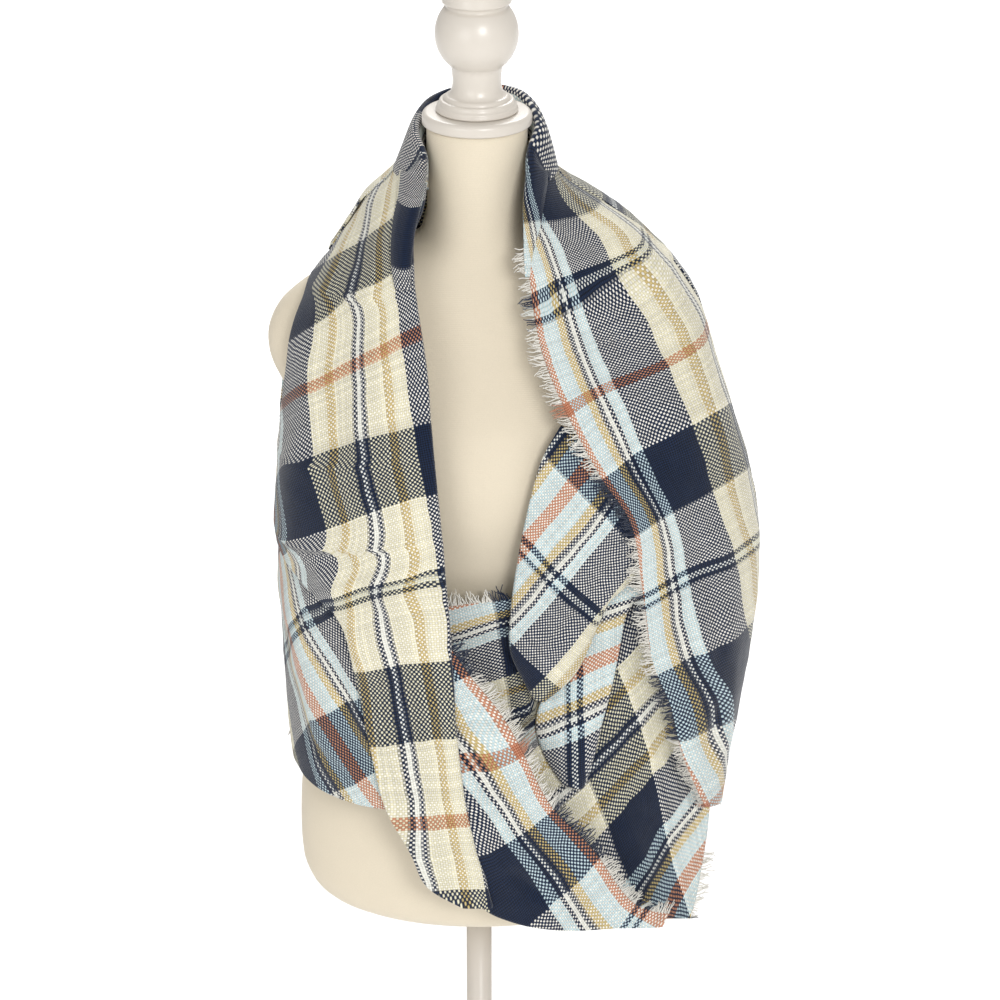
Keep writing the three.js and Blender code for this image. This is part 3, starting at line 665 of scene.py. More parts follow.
def wave_noise(points, length, seed):
    """Smooth unevenness between about -1 and 1, worked out from the place."""
    draw = np.random.default_rng(seed)
    total = np.zeros(points.shape[:-1])
    for _ in range(WAVES):
        direction = unit(draw.normal(size=3))
        rate = 2 * math.pi / (length * draw.uniform(*WAVE_SPREAD))
        total += np.sin(points @ direction * rate + draw.uniform(0, 2 * math.pi))
    return total / math.sqrt(WAVES)


def facing(grid):
    """The direction in which the cloth faces, away from the form, at each point of its grid."""
    normal = np.cross(np.gradient(grid, axis=0), np.gradient(grid, axis=1))
    normal /= np.maximum(np.linalg.norm(normal, axis=-1, keepdims=True), TINY)
    side = np.sign(np.sum(normal * grid * LEVEL, -1).mean())
    return normal * side


def creased(grid, creases, seed, unevenness):
    """The grid with its creases pressed in, and the slight unevenness of soft cloth."""
    lift = unevenness * wave_noise(grid, BROAD_WAVE, seed)
    lift = lift + FINE_SHARE * unevenness * wave_noise(grid, FINE_WAVE, seed + 1)
    if creases is not None:
        wander = WANDER * wave_noise(grid, WANDER_WAVE, seed + 2)
        for x1, z1, x2, z2, depth, width in zip(*creases.values()):
            line = np.array([x2 - x1, z2 - z1])
            length = np.linalg.norm(line)
            line = line / length
            offset = np.stack([grid[..., 0] - x1, grid[..., 2] - z1], -1)
            share = offset @ line / length
            beside = offset @ np.array([-line[1], line[0]]) + wander
            fade = ease(share / CREASE_FADE) * ease((1 - share) / CREASE_FADE)
            lift += depth * fade * np.exp(-((beside / width) ** 2))
    return grid + facing(grid) * lift[..., None]


def bowed(start, middle, end, share):
    """A value on the even curve through its two ends and its middle."""
    return (
        start * (1 - share) * (1 - 2 * share)
        + middle * 4 * share * (1 - share)
        + end * share * (2 * share - 1)
    )


def places_by_rows(grid, sections):
    """Places on the cloth, from the two ends and the middle that the sections name."""
    along, _ = shares(grid.shape[0] - 1, 1)
    row = rows_of(sections, along)
    share = share_across(grid)
    return np.stack(
        [
            bowed(row["inner_along"], row["mid_along"], row["outer_along"], share),
            bowed(row["inner_across"], row["mid_across"], row["outer_across"], share),
        ],
        -1,
    )


# How a small stretch lies: the place on the cloth at x 0 and height 900, and its change for each mm
LIES = table(
    "along along_x along_up across across_x across_up",
    (725.7, 0.604, -0.717, 133, -1.032, -0.685),
    (322.5, -0.731, -0.717, 363.4, 0.927, -0.702),
    (286.7, -1.019, -0.028, 279.3, 0.381, -0.887),
    (146, -0.813, -0.117, 522.9, -0.39, 1.204),
    (187.1, -0.975, -0.336, 278, -0.624, 0.622),
)
LOW_LIE, MIDDLE_LIE, LOWER_LIE, CRADLE_TOP_LIE, CRADLE_LOW_LIE = range(5)
LIE_HEIGHT = 900
SIDE_REACH = 95

# The cradle's left and right parts change over at this distance from the middle, which shrinks below a height
CHANGE_X = 45
CHANGE_WIDTH = 40
CHANGE_HEIGHT = 860
CHANGE_LEAN = 0.9

# The fall down the back: its place along the band at the middle of the neck, the height and place at its top,
# how much longer the cloth is than its drop, and the radius that its way round is measured on
NECK_BACK_PLACE = 31
FALL_TOP = 1352
FALL_TOP_ACROSS = 101
FALL_LENGTHENING = 1.02
FALL_WIDTH_SHARE = 0.35
FALL_RADII = (60, 150)


def places_by_lie(grid, index):
    """Places on the cloth where it lies nearly flat, at even rates over its grid."""
    lie = {name: values[index] for name, values in LIES.items()}
    round_the_side = np.clip(grid[..., 1] + SIDE_REACH, 0, None)
    x = grid[..., 0] + np.sign(grid[..., 0]) * round_the_side
    up = grid[..., 2] - LIE_HEIGHT
    along = lie["along"] + lie["along_x"] * x + lie["along_up"] * up
    across = lie["across"] + lie["across_x"] * x + lie["across_up"] * up
    return np.stack([along, across], -1)


def cradle_places(grid):
    """The cradle's left and right are seen, with the middle between them hidden under the pleats."""
    below = np.clip(CHANGE_HEIGHT - grid[..., 2], 0, None)
    passed = ease((grid[..., 0] - CHANGE_X + CHANGE_LEAN * below) / CHANGE_WIDTH)[..., None]
    return mix(places_by_lie(grid, CRADLE_TOP_LIE), places_by_lie(grid, CRADLE_LOW_LIE), passed)


def back_places(grid, turn):
    """Places on the fall down the back: along runs round the form, and across runs down from the neck."""
    ring = at_height(DRAPE, grid[..., 2])
    radius = mix(ring["back"], (ring["left"] + ring["right"]) / 2, FALL_WIDTH_SHARE)
    around = np.radians(turn + 180) * np.clip(radius, *FALL_RADII)
    down = (FALL_TOP - grid[..., 2]) * FALL_LENGTHENING
    return np.stack([NECK_BACK_PLACE + around, FALL_TOP_ACROSS + np.clip(down, 0, BAND_WIDTH)], -1)


def new_object(name, points, faces, material, nodes):
    """A smooth piece from points in millimetres, which rides on the part and replaces its nodes."""
    mesh = bpy.data.meshes.new(name)
    mesh.from_pydata((np.asarray(points) * MM).tolist(), [], [list(map(int, face)) for face in faces])
    mesh.update()
    mesh.shade_smooth()
    piece = bpy.data.objects.new(name, mesh)
    bpy.context.scene.collection.objects.link(piece)
    mesh.materials.append(material)
    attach(piece, "root")
    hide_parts(*nodes)
    return piece


def set_places(mesh, places, with_seam):
    """Writes the place on the cloth of each face corner, in millimetres, as the map that the weave reads.

    Beyond the end seam of the band the pattern runs the other way round.
    """
    corner_vertex = np.zeros(len(mesh.loops), int)
    mesh.loops.foreach_get("vertex_index", corner_vertex)
    layer = mesh.uv_layers.new(name=PLACE_MAP)
    values = places.reshape(-1, 2)[corner_vertex]
    if with_seam:
        totals = np.zeros(len(mesh.polygons), int)
        mesh.polygons.foreach_get("loop_total", totals)
        face_of = np.repeat(np.arange(len(totals)), totals)
        mean = np.bincount(face_of, values[:, 0]) / totals
        before_seam = (mean < SEAM_PLACE)[face_of]
        values[:, 0] = np.where(before_seam, -(values[:, 0] + SEAM_SHIFT), values[:, 0])
    layer.uv.foreach_set("vector", values.astype(np.float32).ravel())


def grid_faces(steps, columns):
    """Four-sided faces over a grid of points."""
    step, column = np.meshgrid(np.arange(steps - 1), np.arange(columns - 1), indexing="ij")
    corner = (step * columns + column).ravel()
    return np.stack([corner, corner + 1, corner + columns + 1, corner + columns], -1)


def cloth_piece(node, grid, places, with_seam):
    """The cloth that dresses a node: a thin wall about its grid, woven by its places."""
    steps, columns = grid.shape[:2]
    faces = grid_faces(steps, columns)
    middle = grid[steps // 2, columns // 2]
    along = grid[steps // 2 + 1, columns // 2] - middle
    across = grid[steps // 2, columns // 2 + 1] - middle
    if np.dot(np.cross(across, along), middle * LEVEL) < 0:
        faces = faces[:, ::-1]
    piece = new_object(f"cloth_{node}", grid.reshape(-1, 3), faces, PLAID, [node])
    set_places(piece.data, places, with_seam)
    wall = piece.modifiers.new("cloth_thickness", "SOLIDIFY")
    wall.thickness = CLOTH * MM
    wall.offset = 0
    return piece


def folded_under(grid, places, radius, depth):
    """The grid with its first column folded back behind it, as a soft round fold."""
    normal = facing(grid)[:, 0]
    first_step = grid[:, 0] - grid[:, 1]
    outward = unit(first_step)
    gain = places[:, 0] - places[:, 1]
    gain = gain / np.maximum(np.linalg.norm(first_step, axis=-1, keepdims=True), TINY)
    run = math.pi * radius
    columns = []
    spots = []
    for step in range(1, FOLD_STEPS + 1):
        angle = math.pi * step / FOLD_STEPS
        shift = outward * math.sin(angle) * radius - normal * (1 - math.cos(angle)) * radius
        columns.append(grid[:, 0] + shift)
        spots.append(places[:, 0] + gain * run * step / FOLD_STEPS)
    for step in range(1, BEHIND_STEPS + 1):
        back = depth * step / BEHIND_STEPS
        columns.append(columns[FOLD_STEPS - 1] - outward * back)
        spots.append(spots[FOLD_STEPS - 1] + gain * back)
    columns = np.stack(columns[::-1], 1)
    spots = np.stack(spots[::-1], 1)
    return np.concatenate([columns, grid], 1), np.concatenate([spots, places], 1)


def folded_outside(grid, places):
    """The grid with its last column folded back behind it."""
    grid, places = folded_under(grid[:, ::-1], places[:, ::-1], OUTER_FOLD_RADIUS, OUTER_FOLD_DEPTH)
    return grid[:, ::-1], places[:, ::-1]


# Loose yarn ends: spacing, start inside the edge, mesh, and radius at root and tip
END_PITCH = YARN * 0.7
END_JITTER = 0.4
END_ROOT = 1.5
END_SEGMENTS = 6
END_SIDES = 3
ROOT_RADIUS = 0.78
TIP_RADIUS = 0.5

# How the ends stand: waves along the edge, each with a length, size and turn of the seed, and spreads
TUFT_WAVES = ((5.3, 0.5, 1), (2.1, 0.4, 2))
LEAN = 0.35
LEAN_SPREAD = 0.2
RISE_WAVE = 9.0
RISE = 0.12
RISE_SPREAD = 0.16
LENGTH_WAVE = 7.0
LENGTH_CHANGE = 0.16
LENGTH_SPREAD = 0.14
LENGTH_MEAN = 0.82
LENGTH_LIMITS = (0.4, 1.1)
LEAN_LOSS = 0.12
LEAN_CURVE = 1.4
RISE_CURVE = 1.6
CURL_LIMITS = (0.5, 1.3)
SWAY_RATE = 7.0
CURL_RATE = 6.0
CURL_LIFT = 0.8

# Beyond this place across, a raw edge is the band's second one
SECOND_EDGE = 100


def along_edge(values, run, spot):
    """An edge's values at given runs along it."""
    return np.stack([np.interp(spot, run, column) for column in values.T], -1)


def yarn_end_points(base, outward, ahead, spot, draw, seed):
    """The points of each loose end, as small rings about its middle line."""
    count = len(spot)
    up = unit(np.cross(outward, ahead))
    tuft = sum(size * np.sin(spot / wave + turn * seed) for wave, size, turn in TUFT_WAVES)
    lean = LEAN * tuft + draw.normal(0, LEAN_SPREAD, count)
    rise = draw.normal(0, RISE_SPREAD, count) + RISE * np.sin(spot / RISE_WAVE + seed)
    uneven = LENGTH_MEAN + LENGTH_CHANGE * np.sin(spot / LENGTH_WAVE + seed)
    length = FRINGE_LENGTH * np.clip(uneven + draw.normal(0, LENGTH_SPREAD, count), *LENGTH_LIMITS)
    phase = draw.uniform(0, 2 * math.pi, count)
    curl = draw.uniform(*CURL_LIMITS, count)
    rings = []
    for segment in range(END_SEGMENTS + 1):
        share = segment / END_SEGMENTS
        reach = length * share - END_ROOT
        sway = curl * np.sin(phase + share * SWAY_RATE) * share
        lift = curl * np.cos(phase + share * CURL_RATE) * share * CURL_LIFT
        centre = (
            base
            + outward * (reach * (1 - LEAN_LOSS * share * np.abs(lean)))[:, None]
            + ahead * (length * share**LEAN_CURVE * lean + sway)[:, None]
            + up * (length * share**RISE_CURVE * rise + lift)[:, None]
        )
        thick = mix(ROOT_RADIUS, TIP_RADIUS, share)
        for side in range(END_SIDES):
            angle = 2 * math.pi * side / END_SIDES
            rings.append(centre + ahead * thick * math.cos(angle) + up * thick * math.sin(angle))
    return np.stack(rings, 1).reshape(-1, 3)


def yarn_end_faces(count):
    """The faces of all loose ends: first their walls, then the two that close each of them."""
    walls = []
    for segment in range(END_SEGMENTS):
        for side in range(END_SIDES):
            corner = segment * END_SIDES + side
            following = segment * END_SIDES + (side + 1) % END_SIDES
            walls.append((corner, following, following + END_SIDES, corner + END_SIDES))
    tip = END_SEGMENTS * END_SIDES
    caps = [(0, 2, 1), (tip, tip + 1, tip + 2)]
    first = (np.arange(count) * (tip + END_SIDES))[:, None, None]
    faces = []
    for single in (walls, caps):
        faces += (np.array(single) + first).reshape(-1, len(single[0])).tolist()
    return faces


def fringe_piece(name, edge, inside, places, seed, with_seam):
    """Loose yarn ends along a raw edge, uneven in length, that lean and curl in small tufts."""
    draw = np.random.default_rng(seed)
    run = np.concatenate([[0], np.cumsum(np.linalg.norm(np.diff(edge, axis=0), axis=-1))])
    count = int(run[-1] / END_PITCH)
    spot = np.linspace(0, run[-1], count) + draw.uniform(-END_JITTER, END_JITTER, count) * END_PITCH
    base = along_edge(edge, run, spot)
    outward = unit(along_edge(edge - inside, run, spot))
    ahead = unit(np.gradient(base, axis=0))
    points = yarn_end_points(base, outward, ahead, spot, draw, seed)
    faces = yarn_end_faces(count)
    piece = new_object(f"yarn_ends_{name}", points, faces, ENDS, [f"fringe_{name}"])
    spots = np.repeat(along_edge(places, run, spot)[:, None, :], (END_SEGMENTS + 1) * END_SIDES, axis=1)
    reached = np.repeat(np.arange(END_SEGMENTS + 1) / END_SEGMENTS, END_SIDES)[None, :]
    spots[..., 1] += np.where(spots[..., 1] > SECOND_EDGE, 1, -1) * reached * FRINGE_LENGTH
    set_places(piece.data, spots, with_seam)
    return piece


# Colours, as seen, from 0 to 255
NAVY = (19, 35, 62)
CREAM = (222, 217, 190)
PALE = (230, 227, 219)
WHITE = (218, 220, 214)
LIGHT_BLUE = (190, 210, 216)
TAN = (194, 174, 120)
RUST = (188, 132, 104)
JERSEY = (220, 209, 188)
PAINT = (211, 204, 194)
STEEL_PAINT = (203, 196, 187)

# The sett: where each colour ends, from the raw edge to the middle of the repeat
WARP_STRIPES = (
    (7.5, RUST),
    (25, LIGHT_BLUE),
    (34, TAN),
    (38.5, NAVY),
    (42.5, WHITE),
    (47, NAVY),
    (58, LIGHT_BLUE),
    (105, NAVY),
    (120, CREAM),
    (129, TAN),
    (147, CREAM),
    (151.5, NAVY),
    (154, WHITE),
)
WEFT_STRIPES = (
    (6, RUST),
    (64, PALE),
    (126, NAVY),
    (191, PALE),
    (196.5, NAVY),
    (199.5, WHITE),
)

# Looks of the weave: how its yarns wander, in millimetres, how they cross, how their shades and nap vary, and
# the painted shade in the gaps between them
PLACE_MAP = "cloth_place"
DRIFT = 5.0
DRIFT_SCALE = 0.03
OVERLAP_UNEVEN = 0.35
WARP_STEP = (-0.3, 0.1)
# Over the yarns' height, where the painted shade in the gaps between yarns fades in and out
GAP_SHADE_STEP = (0.05, 0.85)
CROWN_POWER = 0.6
YARN_BLUR = 0.05
END_BLUR = 0.6
YARN_SHADES = (0.86, 0.26)
NAP_NOISE = (1.6, 3.0, 0.7)
NAP_SHADES = (0.84, 0.3)
NAP_HEIGHT = 0.5
END_NOISE = (1.1, 3.0, 0.7)
END_SHADES = (0.82, 0.3)

# Looks of the knit cover: height of its rows in metres, its upright rows, and how its shades vary
KNIT_ROW = 0.0016
KNIT_WALES = 330.0
KNIT_CLOUDS = (9.0, 3.0)
KNIT_GRAIN = (900.0, 2.0, 0.7)
KNIT_SHADES = (0.93, 0.1)
KNIT_GRAIN_SHADE = 0.12

# Looks of the paint: its faint streaks and its small rub marks
PAINT_CLOUDS = (14.0, 4.0)
PAINT_SPECKS = (260.0, 2.0)
PAINT_SHADES = (0.95, 0.07)
PAINT_RUB = 0.12
PAINT_SPECK_HEIGHT = 0.15
FLOOR_CLOUDS = (0.8, 2.0)
FLOOR_SHADES = (0.97, 0.03)


def linear(colour):
    """A seen colour as the linear values that a shader takes."""
    values = []
    for part in colour:
        share = part / 255
        values.append(share / 12.92 if share <= 0.04045 else ((share + 0.055) / 1.055) ** 2.4)
    return (*values, 1)


class Nodes:
    """Short calls for making one material's nodes."""

    def __init__(self, name):
        self.material = bpy.data.materials.new(name)
        self.material.use_nodes = True
        self.tree = self.material.node_tree
        self.shader = self.tree.nodes["Principled BSDF"]

    def put(self, value, socket):
        if isinstance(value, bpy.types.NodeSocket):
            self.tree.links.new(value, socket)
        elif value is not None:
            socket.default_value = value

    def add(self, kind, *values, **settings):
        """A new node with its settings, and with its first inputs in order."""
        node = self.tree.nodes.new(f"ShaderNode{kind}")
        for name, setting in settings.items():
            setattr(node, name, setting)
        for value, socket in zip(values, node.inputs):
            self.put(value, socket)
        return node

    def math(self, operation, *values):
        return self.add("Math", *values, operation=operation).outputs[0]

    def smooth_step(self, value, low, high):
        return self.add("MapRange", value, low, high, 0.0, 1.0, interpolation_type="SMOOTHSTEP").outputs[0]

    def blend(self, factor, first, second, how="MIX"):
        node = self.add("Mix", factor, data_type="RGBA", blend_type=how)
        self.put(first, node.inputs[6])
        self.put(second, node.inputs[7])
        return node.outputs[2]

    def vector(self, x, y, z=0.0):
        return self.add("CombineXYZ", x, y, z).outputs[0]

    def noise(self, place, scale, detail=2.0, rough=0.5):
        return self.add("TexNoise", place, None, scale, detail, rough).outputs[0]

    def random(self, place):
        return self.add("TexWhiteNoise", place, noise_dimensions="3D").outputs["Value"]

    def line(self, value, start, span):
        """The start plus the value times the span."""
        return self.math("ADD", start, self.math("MULTIPLY", value, span))

    def centred(self, value, span):
        """A value between 0 and 1, spread over the span about 0."""
        return self.math("MULTIPLY", self.math("SUBTRACT", value, 0.5), span)

    def shaded(self, colour, shade):
        """The colour made lighter or darker."""
        return self.blend(1.0, colour, self.vector(shade, shade, shade), "MULTIPLY")

    def object_place(self):
        return self.add("TexCoord").outputs["Object"]

    def cloth_place(self):
        place = self.add("UVMap", uv_map=PLACE_MAP).outputs[0]
        along, across, _ = self.add("SeparateXYZ", place).outputs
        return along, across

    def stripes(self, value, repeat, stripes, blur):
        """Colour bands over a value that runs to and fro between 0 and the repeat."""
        share = self.math("DIVIDE", self.math("PINGPONG", value, repeat), repeat)
        ramp = self.add("ValToRGB", share)
        band = ramp.color_ramp
        band.interpolation = "LINEAR"
        band.elements[0].position = 0
        band.elements[0].color = linear(stripes[0][1])
        band.elements[1].position = 1
        band.elements[1].color = linear(stripes[-1][1])
        for (end, colour), (_, following) in zip(stripes, stripes[1:]):
            band.elements.new((end - blur) / repeat).color = linear(colour)
            band.elements.new((end + blur) / repeat).color = linear(following)
        return ramp.outputs[0]

    def bump(self, height, strength, distance):
        node = self.add("Bump", strength, distance)
        self.put(height, node.inputs["Height"])
        self.put(node.outputs[0], self.shader.inputs["Normal"])

    def finish(self, colour, roughness, **sockets):
        """The material, with its colour, its roughness and the values of its other sockets."""
        self.put(colour, self.shader.inputs["Base Color"])
        self.put(roughness, self.shader.inputs["Roughness"])
        for name, value in sockets.items():
            self.shader.inputs[name.replace("_", " ")].default_value = value
        return self.material


def yarn_colour(nodes, index, drawn, repeat, stripes):
    """The dyed colour of each yarn, read at its middle, each a little lighter or darker than the next."""
    middle = nodes.math("MULTIPLY", nodes.math("ADD", index, 0.5), YARN)
    colour = nodes.stripes(middle, repeat, stripes, YARN_BLUR)
    return nodes.shaded(colour, nodes.line(nodes.random(drawn), *YARN_SHADES))


def plaid_material():
    """Yarn-dyed plain weave: each yarn its own colour, round and slightly uneven, with a brushed nap, and
    painted shade in the gaps between the yarns.
    """
    nodes = Nodes("woven_plaid")
    along, across = nodes.cloth_place()
    drift_along = nodes.centred(nodes.noise(nodes.vector(along, across), DRIFT_SCALE), DRIFT)
    drift_across = nodes.centred(nodes.noise(nodes.vector(across, along, 7.0), DRIFT_SCALE), DRIFT)
    along = nodes.math("ADD", along, drift_along)
    across = nodes.math("ADD", across, drift_across)
    weft_round = nodes.math("SINE", nodes.math("MULTIPLY", along, math.pi / YARN))
    warp_round = nodes.math("SINE", nodes.math("MULTIPLY", across, math.pi / YARN))
    weft_index = nodes.math("FLOOR", nodes.math("DIVIDE", along, YARN))
    warp_index = nodes.math("FLOOR", nodes.math("DIVIDE", across, YARN))
    checker = nodes.math("MULTIPLY", weft_round, warp_round)
    uneven = nodes.centred(nodes.random(nodes.vector(weft_index, warp_index)), OVERLAP_UNEVEN)
    warp_on_top = nodes.smooth_step(nodes.math("ADD", checker, uneven), *WARP_STEP)
    warp = yarn_colour(nodes, warp_index, nodes.vector(warp_index, 3.0), WARP_REPEAT, WARP_STRIPES)
    weft = yarn_colour(nodes, weft_index, nodes.vector(5.0, weft_index), WEFT_REPEAT, WEFT_STRIPES)
    crown = nodes.math("POWER", nodes.math("ABSOLUTE", checker), CROWN_POWER)
    # Painted shade: in the gaps between yarns, the colour is darkened to the two yarns' colours multiplied
    # together
    between = nodes.blend(1.0, warp, weft, "MULTIPLY")
    colour = nodes.blend(warp_on_top, weft, warp)
    colour = nodes.blend(nodes.smooth_step(crown, *GAP_SHADE_STEP), between, colour)
    nap = nodes.noise(nodes.vector(along, across), *NAP_NOISE)
    colour = nodes.shaded(colour, nodes.line(nap, *NAP_SHADES))
    height = nodes.math("ADD", crown, nodes.math("MULTIPLY", nap, NAP_HEIGHT))
    nodes.bump(height, strength=0.55, distance=0.0006)
    return nodes.finish(colour, 0.92, Sheen_Weight=0.25, Sheen_Roughness=0.5, Specular_IOR_Level=0.18)


def yarn_material():
    """Loose ends of the weft, each of its own band's colour."""
    nodes = Nodes("raw_yarn_ends")
    along, across = nodes.cloth_place()
    colour = nodes.stripes(along, WEFT_REPEAT, WEFT_STRIPES, END_BLUR)
    twist = nodes.noise(nodes.vector(along, across), *END_NOISE)
    colour = nodes.shaded(colour, nodes.line(twist, *END_SHADES))
    nodes.bump(twist, strength=0.3, distance=0.0003)
    return nodes.finish(colour, 0.95, Sheen_Weight=0.3, Sheen_Roughness=0.5, Specular_IOR_Level=0.15)


def jersey_material():
    """Stretched knit cover: fine upright rows, slightly soiled and matt."""
    nodes = Nodes("form_jersey")
    place = nodes.object_place()
    x, y, z = nodes.add("SeparateXYZ", place).outputs
    clouds = nodes.noise(place, *KNIT_CLOUDS)
    grain = nodes.noise(place, *KNIT_GRAIN)
    row_turn = nodes.math("MULTIPLY", z, math.pi / KNIT_ROW)
    wale_turn = nodes.math("MULTIPLY", nodes.math("ARCTAN2", x, y), KNIT_WALES)
    rows = nodes.math("ABSOLUTE", nodes.math("SINE", row_turn))
    wales = nodes.math("ABSOLUTE", nodes.math("SINE", wale_turn))
    stitch = nodes.math("MULTIPLY", rows, wales)
    shade = nodes.math("ADD", nodes.line(clouds, *KNIT_SHADES), nodes.centred(grain, KNIT_GRAIN_SHADE))
    colour = nodes.shaded(linear(JERSEY), shade)
    nodes.bump(nodes.math("ADD", stitch, grain), strength=0.25, distance=0.0004)
    return nodes.finish(colour, 0.85, Sheen_Weight=0.2, Sheen_Roughness=0.4, Specular_IOR_Level=0.25)


def paint_material(name, colour, roughness, coat):
    """Brushed satin paint with faint streaks and small rub marks."""
    nodes = Nodes(name)
    place = nodes.object_place()
    clouds = nodes.noise(place, *PAINT_CLOUDS)
    specks = nodes.noise(place, *PAINT_SPECKS)
    tinted = nodes.shaded(linear(colour), nodes.line(clouds, *PAINT_SHADES))
    rough = nodes.line(specks, roughness, PAINT_RUB)
    height = nodes.math("ADD", clouds, nodes.math("MULTIPLY", specks, PAINT_SPECK_HEIGHT))
    nodes.bump(height, strength=0.12, distance=0.0008)
    return nodes.finish(tinted, rough, Coat_Weight=coat, Coat_Roughness=0.2)


def floor_material():
    nodes = Nodes("pale_floor")
    clouds = nodes.noise(nodes.object_place(), *FLOOR_CLOUDS)
    shade = nodes.line(clouds, *FLOOR_SHADES)
    return nodes.finish(nodes.vector(shade, shade, shade), 0.9, Specular_IOR_Level=0.1)


PLAID = plaid_material()
ENDS = yarn_material()
JERSEY_COVER = jersey_material()
WOOD_PAINT = paint_material("painted_wood", PAINT, 0.3, 0.25)
STAND_PAINT = paint_material("painted_steel", STEEL_PAINT, 0.38, 0.1)


# Sizes of the stand's smaller forms, and how finely its pieces are turned
DISC_ROUNDING = 4.5
DISC_EDGE = 1.5
DISC_FLAT = 20
FINIAL_TOP = 1515
BALL_HEIGHT = 1459
BALL_RADIUS = 36.5
TURNED_SIDES = 96
TORSO_RINGS = 150
TORSO_SIDES = 128


def ring_faces(rings, sides):
    """Four-sided faces between stacked rings, with a flat face at each end."""
    faces = []
    for ring in range(rings - 1):
        for side in range(sides):
            following = (side + 1) % sides
            faces.append((ring * sides + side, (ring + 1) * sides + side,
                          (ring + 1) * sides + following, ring * sides + following))
    lowest = (rings - 1) * sides
    faces.append(tuple(range(sides)))
    faces.append(tuple(lowest + side for side in reversed(range(sides))))
    return faces


def smooth_walls(piece):
    """Smooth shading on the four-sided faces, and none on the flat ends."""
    for polygon in piece.data.polygons:
        polygon.use_smooth = len(polygon.vertices) == 4


def turned_piece(name, profile, material, node):
    """A turned piece, from its profile of radius and height pairs, from the top down."""
    angle = np.arange(TURNED_SIDES) * 2 * math.pi / TURNED_SIDES
    rings = []
    for radius, height in profile:
        level = np.full(TURNED_SIDES, float(height))
        rings.append(np.stack([radius * np.sin(angle), -radius * np.cos(angle), level], -1))
    faces = ring_faces(len(profile), TURNED_SIDES)
    smooth_walls(new_object(name, np.concatenate(rings), faces, material, [node]))


def arc(centre_radius, centre_height, radius, start, end, steps):
    """Points of a round stretch of a profile, its angles in degrees above the level."""
    angles = np.radians(np.linspace(start, end, steps + 1))
    return [(centre_radius + radius * math.cos(a), centre_height + radius * math.sin(a)) for a in angles]


def make_torso():
    height = np.linspace(TORSO_TOP, TORSO_BOTTOM + SEAT_GAP, TORSO_RINGS)
    ring = at_height(TORSO, height)
    angle = np.arange(TORSO_SIDES) * 2 * math.pi / TORSO_SIDES
    reach = np.where(np.cos(angle)[None] > 0, ring["front"][:, None], ring["back"][:, None])
    x = ring["width"][:, None] * np.sin(angle)
    y = -reach * np.cos(angle)
    z = np.broadcast_to(height[:, None], x.shape)
    points = np.stack([x, y, z], -1).reshape(-1, 3)
    faces = ring_faces(TORSO_RINGS, TORSO_SIDES)
    smooth_walls(new_object("torso_cover", points, faces, JERSEY_COVER, ["torso"]))


def make_disc():
    rim = DISC_RADIUS - DISC_ROUNDING
    profile = [(DISC_FLAT, DISC_TOP), (rim, DISC_TOP)]
    profile += arc(rim, DISC_TOP - DISC_ROUNDING, DISC_ROUNDING, 80, 0, 8)
    profile += arc(DISC_RADIUS - DISC_EDGE, DISC_BOTTOM + DISC_EDGE, DISC_EDGE, 0, -90, 4)
    profile += [(DISC_FLAT, DISC_BOTTOM)]
    turned_piece("neck_disc_painted", profile, WOOD_PAINT, "neck_disc")


def make_finial():
    """Small crown, groove, ball, waist and stepped foot."""
    foot = DISC_TOP + SEAT_GAP
    profile = [(2, FINIAL_TOP), (12, FINIAL_TOP - 2)]
    profile += arc(18, 1498, 12, 75, 0, 8)
    profile += [(30, 1490)]
    profile += arc(28.5, 1488.5, 2, 0, -90, 4)
    profile += [(26.5, 1484.5), (26.8, 1482)]
    profile += arc(0, BALL_HEIGHT, BALL_RADIUS, 38, -52, 30)
    profile += [(21.8, 1425), (21.2, 1419), (21.4, 1413), (22.6, 1408), (25.0, 1404.5)]
    profile += arc(25, 1400.5, 4, 75, 0, 5)
    profile += arc(30.5, 1398.6, 2.4, 80, -10, 5)
    profile += arc(33, 1394.5, 2.0, 70, -10, 4)
    profile += arc(34.4, foot + 1.6, 1.6, 60, -90, 5)
    profile += [(10, foot)]
    turned_piece("finial_turned", profile, WOOD_PAINT, "finial")


def make_pole():
    top = TORSO_BOTTOM - SEAT_GAP
    bottom = HUB_TOP + SEAT_GAP
    profile = [(POLE_RADIUS / 2, top), (POLE_RADIUS, top), (POLE_RADIUS, bottom), (POLE_RADIUS / 2, bottom)]
    turned_piece("pole_painted", profile, STAND_PAINT, "pole")


def make_base():
    profile = [(8, HUB_TOP), (HUB_RADIUS - 6, HUB_TOP)]
    profile += arc(HUB_RADIUS - 6, HUB_TOP - 3, 3, 90, 0, 5)
    profile += [(HUB_RADIUS - 2, 22), (HUB_RADIUS + 2, 18.5), (HUB_RADIUS + 12, 15)]
    profile += [(90, 12.2), (BASE_RADIUS - 8, 9)]
    profile += arc(BASE_RADIUS - 4, 5, 4, 75, 0, 6)
    profile += [(BASE_RADIUS, 2), (BASE_RADIUS - 2, 0), (20, 0)]
    turned_piece("base_painted", profile, STAND_PAINT, "base")


# Each stretch: steps along its mesh, columns across it, and the seed and size of its unevenness
MESHES = {
    "left_front": (260, 90, 11, 0.7),
    "left_low_front": (110, 70, 12, 0.7),
    "left_turned_edge": (170, 50, 13, 0.7),
    "right_front": (260, 80, 14, 0.7),
    "cradle": (140, 110, 15, 0.4),
    "middle_pleat": (120, 70, 16, 0.4),
    "lower_pleat": (90, 50, 17, 0.4),
    "left_shoulder": (50, 40, 18, 0.3),
    "left_back": (130, 50, 19, 0.7),
    "right_back": (220, 60, 20, 0.7),
    "back_drape": (200, 200, 21, 0.7),
    "neck_roll": (320, 60, 22, 0.3),
}

